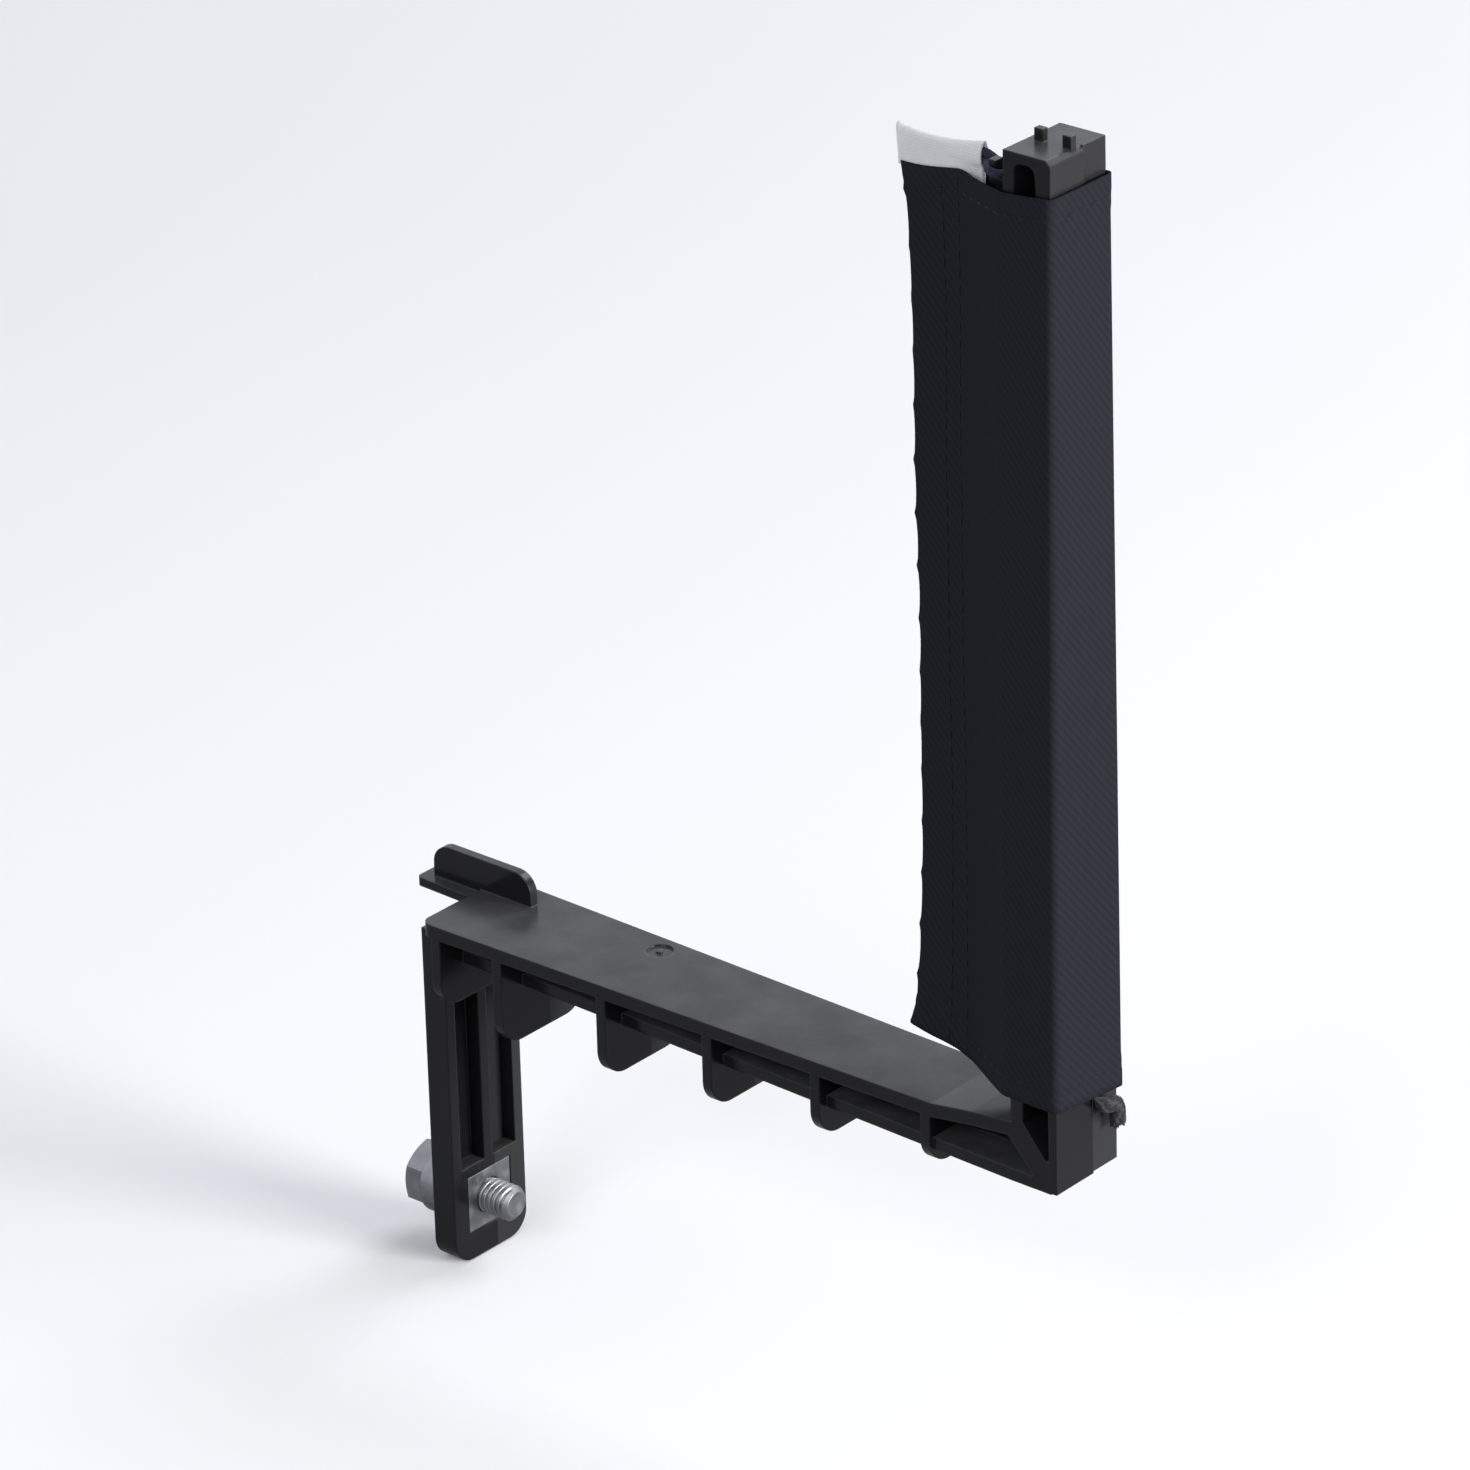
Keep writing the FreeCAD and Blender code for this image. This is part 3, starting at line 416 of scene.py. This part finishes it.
def pocket_outline(height):
    """The closed line round flap and post at one height, seen from above."""
    share = between(sleeve_low.z, sleeve_high.z, height)
    outer = outer_foot - POST_LEAN * share
    half = half_foot - POST_TAPER * share
    corners = [
        (flap_end, -FLAP_HALF, FREE_EDGE_ROUND, 3), (seam, -FLAP_HALF, SEAM_ROUND, 6),
        (post_inner, -half, INNER_ROUND, 7), (outer, -half, OUTER_ROUND, 6),
        (outer, half, OUTER_ROUND, 6), (post_inner, half, INNER_ROUND, 7),
        (seam, FLAP_HALF, SEAM_ROUND, 6), (flap_end, FLAP_HALF, FREE_EDGE_ROUND, 3),
    ]
    runs = [14, 12, 9, 15, 9, 12, 14, 1]
    places = [Vector((x, y)) for x, y, _, _ in corners]
    made = []
    for index, (_, _, radius, steps) in enumerate(corners):
        following = places[(index + 1) % len(places)]
        arc = arc_points(places[index - 1], places[index], following, radius, steps)
        made += arc
        ahead = (index + 1) % len(places)
        start = arc_points(places[index], following, places[(index + 2) % len(places)],
                           corners[ahead][2], 1)[0]
        made += [arc[-1].lerp(start, step / runs[index]) for step in range(1, runs[index])]
    return made


def hem_height(x, y):
    """Lower edge: level round the post, and slanting up along the flap."""
    across = hem_front + (hem_back - hem_front) * between(-half_foot, half_foot, y)
    middle = (hem_front + hem_back) / 2
    slant = flap_hem + (middle - flap_hem) * between(flap_end, flap_end + HEM_SLANT, x)
    ripple = HEM_RIPPLE * math.sin(x / (2.3 * MM))
    share = smooth(between(flap_end + HEM_SLANT - 2 * MM, flap_end + HEM_SLANT + 6 * MM, x))
    return slant + (across - slant) * share + ripple * (1 - share)


def top_height(x):
    """Upper edge: it sags from the post along the flap."""
    flap = top_flap + (top_seam - top_flap) * smooth(between(flap_end, seam, x))
    post = top_inner + (top_outer - top_inner) * between(post_inner, outer_foot, x)
    share = smooth(between(seam + 2 * MM, post_inner, x))
    ripple = TOP_RIPPLE * math.sin(x / (2.9 * MM) + 0.6) * (1 - share)
    return flap + (post - flap) * share + ripple


def flap_sway(x, height):
    """Slow waves of the flat flap, which die out at the post."""
    fade = 1 - smooth(between(flap_end, post_inner - 3 * MM, x))
    slow = math.sin(height / (17 * MM) + x / (9 * MM))
    quick = math.sin(height / (6.1 * MM) - x / (5 * MM) + 1.3)
    return (0.32 * slow + 0.10 * quick) * MM * fade


def edge_pull(height):
    """The flap's free edge is drawn in between its ends, and slightly scalloped."""
    from_top = 1 - math.exp((height - top_flap) / EDGE_RUN)
    from_hem = 1 - math.exp((flap_hem - height) / EDGE_RUN)
    ends = from_top * from_hem
    scallop = abs(math.sin(math.pi * (height - flap_hem) / RIDGE_PITCH))
    uneven = 0.65 + 0.35 * math.sin(height / (13 * MM) + 0.8)
    return EDGE_PULL * max(ends, 0.0) + SCALLOP * scallop * uneven


def flap_ridge(x, height):
    """Faint level ridges at the flap's free edge, one in each pitch, which fade to the post."""
    row = (height - flap_hem) / RIDGE_PITCH
    away = (row - round(row)) * RIDGE_PITCH
    fade = 1 - smooth(between(flap_end + 3 * MM, flap_end + 8 * MM, x))
    return RIDGE_HEIGHT * math.exp(-(away / RIDGE_WIDTH) ** 2) * fade


def hem_relief(distance):
    """The folded hem stands out a little, with a groove where it is sewn."""
    if distance > HEM_FADE:
        return 0.0
    fold = HEM_FOLD * (1 - smooth(between(HEM_WIDTH, HEM_FADE, distance)))
    groove = HEM_GROOVE * math.exp(-((distance - HEM_SEAM) / (0.45 * MM)) ** 2)
    return fold - groove


def cloth_folds(x, height, front):
    """Shallow dents where the cloth spans from the seam to the post."""
    wall = math.sin(math.pi * between(seam, post_inner, x))
    slow = math.sin(height / (11 * MM) + (0.0 if front else 2.0))
    wave = slow + 0.5 * math.sin(height / (4.7 * MM))
    return FOLD_DEPTH * wall * wave


def pocket_grid(rows):
    """Points of the pocket, row by row upwards, with the outward direction at each point."""
    middle = (sleeve_low.z + sleeve_high.z) / 2
    count = len(pocket_outline(middle))
    grid = []
    for row in range(rows + 1):
        share = row / rows
        line = pocket_outline(sleeve_low.z + (sleeve_high.z - sleeve_low.z) * share)
        level = []
        for index in range(count):
            spot = line[index]
            along = (line[(index + 1) % count] - line[index - 1]).normalized()
            out = Vector((along.y, -along.x))
            low = hem_height(spot.x, spot.y)
            high = top_height(spot.x)
            height = low + (high - low) * share
            lift = hem_relief(height - low) + hem_relief(high - height)
            if spot.x > seam:
                lift += cloth_folds(spot.x, height, spot.y < 0)
            elif abs(out.y) > 0.5:
                lift += flap_ridge(spot.x, height)
            place = spot + out * lift
            sway = flap_sway(spot.x, height)
            edge = edge_pull(height) * (1 - between(flap_end, seam, spot.x))
            level.append((Vector((place.x + edge, place.y + sway, height)), out.to_3d()))
        grid.append(level)
    return grid


def make_sleeve():
    """The pocket's cloth as one welded sheet; returns its grid for the stitches."""
    rows = POCKET_ROWS
    grid = pocket_grid(rows)
    count = len(grid[0])
    lengths = [0.0]
    for index in range(count):
        step = grid[rows // 2][(index + 1) % count][0] - grid[rows // 2][index][0]
        lengths.append(lengths[-1] + step.length)
    vertices = []
    uvs = []
    for level in grid:
        for index in range(count + 1):
            place = level[index % count][0]
            vertices.append(place)
            uvs.append((lengths[index], place.z))
    wide = count + 1
    faces = [(row * wide + index, row * wide + index + 1,
              (row + 1) * wide + index + 1, (row + 1) * wide + index)
             for row in range(rows) for index in range(count)]
    made = mesh_object("net_pocket", vertices, faces, TWILL, uvs)
    weld = made.modifiers.new("closing_seam", "WELD")
    weld.merge_threshold = WELD_REACH
    thicken(made, CLOTH)
    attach(made, "net_end")
    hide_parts("net_sleeve")
    return grid


# Stitches

STITCH = 2.1 * MM
STITCH_GAP = 0.7 * MM
STITCH_RADIUS = 0.12 * MM
STITCH_SIDES = 6
# Share along a stitch, width, and height above the cloth, the last two in stitch radii
STITCH_PROFILE = ((0.0, 0.35, -0.5), (0.15, 0.9, 0.3), (0.5, 1.0, 0.6), (0.85, 0.9, 0.3),
                  (1.0, 0.35, -0.5))
SEAM_ROWS = (0.6 * MM, 3.4 * MM)


def add_stitch(vertices, faces, start, end, out):
    """A short thread that dips into the cloth at both ends."""
    along = (end - start).normalized()
    side = along.cross(out).normalized()
    sides = STITCH_SIDES
    first = len(vertices)
    for share, width, height in STITCH_PROFILE:
        centre = start.lerp(end, share) + out * STITCH_RADIUS * height
        for index in range(sides):
            angle = math.tau * index / sides
            vertices.append(centre + (side * math.cos(angle) + out * math.sin(angle))
                            * STITCH_RADIUS * width)
    for ring in range(len(STITCH_PROFILE) - 1):
        for index in range(sides):
            one = first + ring * sides + index
            two = first + ring * sides + (index + 1) % sides
            faces.append((one, two, two + sides, one + sides))
    last = first + (len(STITCH_PROFILE) - 1) * sides
    faces.append(tuple(first + index for index in reversed(range(sides))))
    faces.append(tuple(last + index for index in range(sides)))


def sew(vertices, faces, line):
    """Stitches of one length along a line of (place, outward direction)."""
    travelled = 0.0
    start = None
    for (place, out), (following, _) in zip(line, line[1:]):
        step = (following - place).length
        covered = 0.0
        while covered < step:
            wanted = (STITCH if start is not None else STITCH_GAP) - travelled
            if step - covered < wanted:
                travelled += step - covered
                break
            covered += wanted
            travelled = 0.0
            spot = place.lerp(following, covered / step) + out * (CLOTH / 2)
            if start is None:
                start = spot
            else:
                add_stitch(vertices, faces, start, spot, out)
                start = None


def row_at(grid, distance, from_top):
    """The line of the grid that lies nearest to a distance from the upper or lower edge."""
    line = []
    for index in range(len(grid[0])):
        edge = grid[-1 if from_top else 0][index][0].z
        row = min(range(len(grid)),
                  key=lambda r: abs(abs(grid[r][index][0].z - edge) - distance))
        line.append(grid[row][index])
    return line + [line[0]]


def column_at(grid, x, front):
    """The upright line of the grid nearest to x on the front or the back of the flap."""
    middle = grid[len(grid) // 2]
    index = min((i for i in range(len(middle)) if (middle[i][0].y < 0) == front),
                key=lambda i: abs(middle[i][0].x - x))
    return [level[index] for level in grid]


def make_stitches(grid):
    """Both hems' rows and the two upright rows of the seam, on front and back."""
    vertices = []
    faces = []
    for from_top in (True, False):
        sew(vertices, faces, row_at(grid, HEM_SEAM, from_top))
    for offset in SEAM_ROWS:
        for front in (True, False):
            sew(vertices, faces, column_at(grid, seam - offset, front))
    made = mesh_object("pocket_stitches", vertices, faces, NAVY)
    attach(made, "net_end")


# The tape's end

TAPE_CLOTH = 0.3 * MM
CREST_HALF = 0.42 * MM
LOOP_RADIUS = 0.65 * MM
TAPE_TUCK = 0.5 * MM
CREST_DROP = 0.25 * MM
TAPE_BOW = 0.18 * MM


def tape_section(share, lower, crest, cord_level):
    """Half of the folded tape at one place along it, from its lower edge up to the fold."""
    swell = smooth((share - 0.55) / 0.4)
    half = []
    steps = 20
    for step in range(steps + 1):
        height = lower + (crest - CREST_HALF - lower) * step / steps
        flat = CREST_HALF * (0.45 + 0.55 * smooth(between(lower, crest, height)))
        away = (height - cord_level) / (LOOP_RADIUS * 2 + 0.5 * MM)
        cord = (LOOP_RADIUS + TAPE_CLOTH / 2) * math.sqrt(max(0.0, 1 - away * away))
        half.append((max(flat, flat + (cord - flat) * swell), height))
    return half


def make_tape():
    """White tape folded over the top cord; its lower edges lie between the pocket's layers."""
    lower = tape_low.z - TAPE_TUCK
    start = tape_low.x
    end = tape_high.x
    cord_level = (loop_low.z + loop_high.z) / 2
    steps_along = 52
    steps_round = 6
    vertices = []
    uvs = []
    for step in range(steps_along + 1):
        share = step / steps_along
        x = start + (end - start) * share
        rise = (0.2 - 3.35 * share + 3.7 * share * share) * MM
        bow = TAPE_BOW * math.sin(x / (4.3 * MM) + 1.0)
        crest = tape_high.z - TAPE_CLOTH / 2 - CREST_DROP + rise
        half = tape_section(share, lower, crest, cord_level)
        front = [(-y, z) for y, z in half]
        top = half[-1][0]
        turns = [math.pi * turn / steps_round for turn in range(1, steps_round)]
        crown = [(-top * math.cos(angle), crest - CREST_HALF + CREST_HALF * math.sin(angle))
                 for angle in turns]
        travelled = 0.0
        section = front + crown + half[::-1]
        before = section[0]
        for y, z in section:
            travelled += math.dist(before, (y, z))
            before = (y, z)
            vertices.append(Vector((x, y + bow * smooth(between(lower, crest, z)), z)))
            uvs.append((x, travelled))
    wide = len(vertices) // (steps_along + 1)
    faces = [(step * wide + index, (step + 1) * wide + index,
              (step + 1) * wide + index + 1, step * wide + index + 1)
             for step in range(steps_along) for index in range(wide - 1)]
    made = mesh_object("tape_fold", vertices, faces, TAPE, uvs)
    thicken(made, TAPE_CLOTH)
    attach(made, "net_end")
    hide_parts("tape_end")


# Cords

ROUTE_STEPS = 24
SIDES_PER_STRAND = 8
BRAID_FLOOR = 0.86
BRAID_RISE = 0.14
END_CLOSE = math.sqrt(1 - 0.55 ** 2)


def smooth_route(steering):
    """Close points along the smooth curve that a few points steer."""
    curve = bpy.data.curves.new("route", "CURVE")
    curve.dimensions = "3D"
    curve.resolution_u = ROUTE_STEPS
    spline = curve.splines.new("NURBS")
    spline.points.add(len(steering) - 1)
    for point, place in zip(spline.points, steering):
        point.co = (*place, 1.0)
    spline.order_u = 3
    spline.use_endpoint_u = True
    holder = bpy.data.objects.new("route", curve)
    line = bpy.data.meshes.new_from_object(holder)
    route = [vertex.co.copy() for vertex in line.vertices]
    bpy.data.meshes.remove(line)
    bpy.data.objects.remove(holder)
    bpy.data.curves.remove(curve)
    return route


def braid_height(angle, travelled, pitch, strands):
    """Height and strand number where two sets of strands wind opposite ways over each other."""
    turn = angle * strands / math.tau
    left = turn + travelled / pitch
    right = turn - travelled / pitch
    over = math.cos(math.pi * (left + right)) * math.cos(math.pi * (left - right))
    chosen = left if over > 0 else right
    ridge = abs(math.cos(math.pi * (chosen % 1.0 - 0.5)))
    return ridge, int(math.floor(chosen)) % strands, over > 0


def make_braid(name, route, radius, pitch, strands, material, light_strands, pinch=0.0):
    """A cord whose braid stands out in the mesh and whose strands carry their own tone, with
    painted shade where they sink into the grooves.

    It is pinched thin at its start and has its full radius after the length given as pinch.
    """
    sides = strands * SIDES_PER_STRAND
    vertices = []
    tones_with_painted_shade = []
    travelled = 0.0
    side = Vector((0, 0, 1)).cross(route[1] - route[0])
    side = side.normalized() if side.length > 1e-9 else Vector((1, 0, 0))
    for index, spot in enumerate(route):
        following = route[min(index + 1, len(route) - 1)]
        before = route[max(index - 1, 0)]
        along = (following - before).normalized()
        side = (side - along * side.dot(along)).normalized()
        up = along.cross(side)
        travelled += (spot - before).length
        full = 0.25 + 0.75 * smooth(travelled / pinch) if pinch else 1.0
        closing = END_CLOSE if index in (0, len(route) - 1) else 1.0
        for step in range(sides):
            angle = math.tau * step / sides
            ridge, strand, left = braid_height(angle, travelled, pitch, strands)
            reach = radius * closing * full * (BRAID_FLOOR + BRAID_RISE * ridge)
            vertices.append(spot + (side * math.cos(angle) + up * math.sin(angle)) * reach)
            light = (strand + (0 if left else 1)) % light_strands == 0
            # Painted shade: each strand is darker towards its edges, where it sinks into the
            # braid.
            tones_with_painted_shade.append((0.75 if light else 0.12) + 0.25 * ridge)
    faces = [(ring * sides + step, ring * sides + (step + 1) % sides,
              (ring + 1) * sides + (step + 1) % sides, (ring + 1) * sides + step)
             for ring in range(len(route) - 1) for step in range(sides)]
    faces.append(tuple(reversed(range(sides))))
    last = (len(route) - 1) * sides
    faces.append(tuple(last + step for step in range(sides)))
    made = mesh_object(name, vertices, faces, material)
    layer = made.data.attributes.new("strand", "FLOAT", "POINT")
    layer.data.foreach_set("value", tones_with_painted_shade)
    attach(made, "net_end")
    return made


HOOK_MIDDLE = -2.8 * MM
HOOK_HALF = 0.9 * MM
LOOP_GAP = 0.15 * MM


def make_top_loop():
    """From inside the tape round the hook's tip and back."""
    level = (loop_low.z + loop_high.z) / 2
    side = HOOK_HALF + LOOP_GAP + LOOP_RADIUS
    start = tape_high.x - 3.0 * MM
    far = loop_high.x - LOOP_RADIUS
    inside = tape_high.x - 0.6 * MM
    lead = tape_high.x + 0.8 * MM
    tip = far - 2.6 * MM
    upper = level + LOOP_RADIUS
    lower = level - LOOP_RADIUS
    route = smooth_route([
        (start, 0, upper), (inside, 0, upper), (lead, 0, upper), (tip, HOOK_MIDDLE + side, level),
        (far, HOOK_MIDDLE + side, level), (far, HOOK_MIDDLE - side, level),
        (tip, HOOK_MIDDLE - side, level), (lead, 0, lower), (inside, 0, lower), (start, 0, lower)])
    made = make_braid("cord_eye", route, LOOP_RADIUS, 1.1 * MM, 6, NAVY, 3)
    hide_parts("top_cord_loop")


TAIL_RADIUS = 1.3 * MM
FIBRES = 46
FIBRE_RADIUS = 0.07 * MM
FIBRE_LENGTHS = (0.3, 0.8)
FIBRE_SPREAD = 0.12 * MM


def make_tail():
    """The braided tail comes out of the hem's edge, turns and hangs, with a frayed cut end."""
    away = tail_low.x + (tail_high.x - tail_low.x) / 2
    level = tail_high.z - TAIL_RADIUS
    corner = tail_high.y - TAIL_RADIUS
    tuck = Vector((tail_low.x + 0.1 * MM, tail_low.y - 0.6 * MM, tail_high.z + 0.7 * MM))
    route = smooth_route([
        tuck, (away - 0.4 * MM, tail_low.y + 0.4 * MM, level + 0.5 * MM),
        (away, corner - 1.2 * MM, level), (away, corner, level - 0.4 * MM),
        (away, corner, tail_low.z + 0.6 * MM)])
    made = make_braid("cord_tail", route, TAIL_RADIUS, 2.1 * MM, 8, BRAID, 2, 2.4 * MM)
    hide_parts("bottom_cord")
    fray = make_fray(Vector((away, corner, tail_low.z + 0.7 * MM)))
    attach(fray, "net_end")


def make_fray(centre):
    """Loose fibres at the cut end."""
    curve = bpy.data.curves.new("tail_fray", "CURVE")
    curve.dimensions = "3D"
    curve.bevel_depth = FIBRE_RADIUS
    curve.bevel_resolution = 1
    for _ in range(FIBRES):
        angle = chance.uniform(0, math.tau)
        reach = TAIL_RADIUS * 0.85 * math.sqrt(chance.random())
        out = Vector((math.cos(angle), math.sin(angle), 0))
        spline = curve.splines.new("POLY")
        spline.points.add(3)
        length = chance.uniform(*FIBRE_LENGTHS) * MM
        for index, point in enumerate(spline.points):
            share = index / 3
            spread = out * (reach + FIBRE_SPREAD * share * share)
            point.co = (*(centre + spread - Vector((0, 0, length * share))), 1.0)
    curve.materials.append(BRAID)
    made = bpy.data.objects.new("tail_fray", curve)
    bpy.context.scene.collection.objects.link(made)
    return made


# The bolt

THREAD_PITCH = 1.0 * MM
THREAD_DEPTH = 0.5 * MM
HEAD_HEIGHT = 4.0 * MM
HEAD_FLATS = 10.0 * MM
BOLT_RADIUS = 3.0 * MM
POINT = 0.8 * MM
HEAD_BEVEL = 0.3 * MM
BOLT_SIDES = 48
STEPS_PER_TURN = 10


def lathe_point(x, radius, angle, axis_height):
    return Vector((x, radius * math.cos(angle), axis_height + radius * math.sin(angle)))


def make_bolt():
    """Hexagon bolt with a bevelled head and a cut thread along its whole shank."""
    axis_height = (bolt_low.z + bolt_high.z) / 2
    seat = bolt_low.x + HEAD_HEIGHT
    tip = bolt_high.x
    sides = BOLT_SIDES
    vertices = []
    faces = []

    def add_ring(x_of, radius_of):
        for step in range(sides):
            angle = math.tau * step / sides
            radius = radius_of(angle)
            vertices.append(lathe_point(x_of(angle, radius), radius, angle, axis_height))

    def hexagon(angle):
        return HEAD_FLATS / 2 / math.cos((angle + math.pi / 6) % (math.pi / 3) - math.pi / 6)

    bevel = HEAD_FLATS / 2 - HEAD_BEVEL
    slope = math.tan(math.pi / 6)
    outer_face = bolt_low.x
    add_ring(lambda angle, radius: outer_face, lambda angle: bevel * 0.5)
    add_ring(lambda angle, radius: outer_face, lambda angle: bevel)
    add_ring(lambda angle, radius: outer_face + (radius - bevel) * slope, hexagon)
    add_ring(lambda angle, radius: seat, hexagon)
    add_ring(lambda angle, radius: seat, lambda angle: BOLT_RADIUS * 1.02)
    count = int((tip - seat) / THREAD_PITCH * STEPS_PER_TURN)
    for ring in range(count + 1):
        x = seat + (tip - seat) * ring / count
        limit = min(BOLT_RADIUS, BOLT_RADIUS - POINT + (tip - x))

        def cut(angle, x=x, limit=limit):
            phase = (x / THREAD_PITCH + angle / math.tau) % 1.0
            flank = abs(phase - 0.5) * 2
            return min(limit, BOLT_RADIUS - THREAD_DEPTH * smooth(flank * 1.25 - 0.125))
        add_ring(lambda angle, radius, x=x: x, cut)
    add_ring(lambda angle, radius: tip, lambda angle: BOLT_RADIUS * 0.4)
    rings = len(vertices) // sides
    for ring in range(rings - 1):
        for step in range(sides):
            one = ring * sides + step
            two = ring * sides + (step + 1) % sides
            faces.append((one, one + sides, two + sides, two))
    faces.append(tuple(range(sides)))
    last = (rings - 1) * sides
    faces.append(tuple(reversed([last + step for step in range(sides)])))
    made = mesh_object("threaded_bolt", vertices, faces, ZINC)
    made.data.polygons.foreach_set("use_smooth", [False] * len(made.data.polygons))
    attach(made, "bolt")
    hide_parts("clamp_bolt")


# Stage, light and camera

CAMERA_PLACE = Vector((0.7624, -0.8090, 0.5565))
CAMERA_AIM = Vector((0.0610, 0.0, 0.0480))
CAMERA_ROLL = math.radians(-1.5)
CAMERA_LENS = 190.0
CAMERA_SENSOR = 36.0
FLOOR_HALF = 6.0
FLOOR_GAP = 0.2 * MM
LIGHT_AIM = Vector((0.06, 0.0, 0.04))
ROOM_LIGHT = 0.42
ROOM_SEEN = 1.0
# Name, place, diameter in metres, power in watts, colour
LIGHTS = (
    ("key", (1.45, 0.25, 0.32), 0.7, 32.0, (1.0, 0.98, 0.97)),
    ("back", (0.20, 1.20, 1.10), 0.9, 10.0, (0.93, 0.96, 1.0)),
    ("fill", (0.25, -1.30, 0.90), 0.9, 9.5, (0.95, 0.97, 1.0)),
)


def make_stage():
    mesh = bpy.data.meshes.new("floor")
    half = FLOOR_HALF
    level = cad_low.z - FLOOR_GAP
    mesh.from_pydata([(-half, -half, level), (half, -half, level), (half, half, level),
                      (-half, half, level)], [], [(0, 1, 2, 3)])
    mesh.materials.append(floor_material())
    floor = bpy.data.objects.new("floor", mesh)
    bpy.context.scene.collection.objects.link(floor)


def add_area_light(name, place, size, power, colour):
    data = bpy.data.lights.new(name, "AREA")
    data.shape = "DISK"
    data.size = size
    data.energy = power
    data.color = colour
    light = bpy.data.objects.new(name, data)
    light.location = place
    aim = LIGHT_AIM - Vector(place)
    light.rotation_euler = aim.to_track_quat("-Z", "Y").to_euler()
    bpy.context.scene.collection.objects.link(light)


def make_lights():
    """Soft room light; camera and reflections see the white studio round the object."""
    world = bpy.data.worlds.new("soft_room")
    world.use_nodes = True
    tree = world.node_tree
    background = tree.nodes["Background"]
    path = tree.nodes.new("ShaderNodeLightPath")
    strength = tree.nodes.new("ShaderNodeMapRange")
    seen = tree.nodes.new("ShaderNodeMath")
    seen.operation = "MAXIMUM"
    tree.links.new(path.outputs["Is Camera Ray"], seen.inputs[0])
    tree.links.new(path.outputs["Is Glossy Ray"], seen.inputs[1])
    tree.links.new(seen.outputs[0], strength.inputs["Value"])
    strength.inputs["To Min"].default_value = ROOM_LIGHT
    strength.inputs["To Max"].default_value = ROOM_SEEN
    tree.links.new(strength.outputs[0], background.inputs["Strength"])
    background.inputs["Color"].default_value = (*STUDIO_WHITE, 1.0)
    bpy.context.scene.world = world
    for light in LIGHTS:
        add_area_light(*light)


def make_camera():
    data = bpy.data.cameras.new("camera")
    data.lens = CAMERA_LENS
    data.sensor_width = CAMERA_SENSOR
    data.clip_start = 0.05
    data.clip_end = 30.0
    camera = bpy.data.objects.new("camera", data)
    camera.location = CAMERA_PLACE
    look = (CAMERA_AIM - CAMERA_PLACE).to_track_quat("-Z", "Y")
    camera.rotation_mode = "QUATERNION"
    camera.rotation_quaternion = look @ Matrix.Rotation(CAMERA_ROLL, 3, "Z").to_quaternion()
    bpy.context.scene.collection.objects.link(camera)
    bpy.context.scene.camera = camera


dress_cad_pieces()
pocket = make_sleeve()
make_stitches(pocket)
make_tape()
make_top_loop()
make_tail()
make_bolt()
make_stage()
make_lights()
make_camera()
bpy.context.scene.view_settings.view_transform = "Standard"
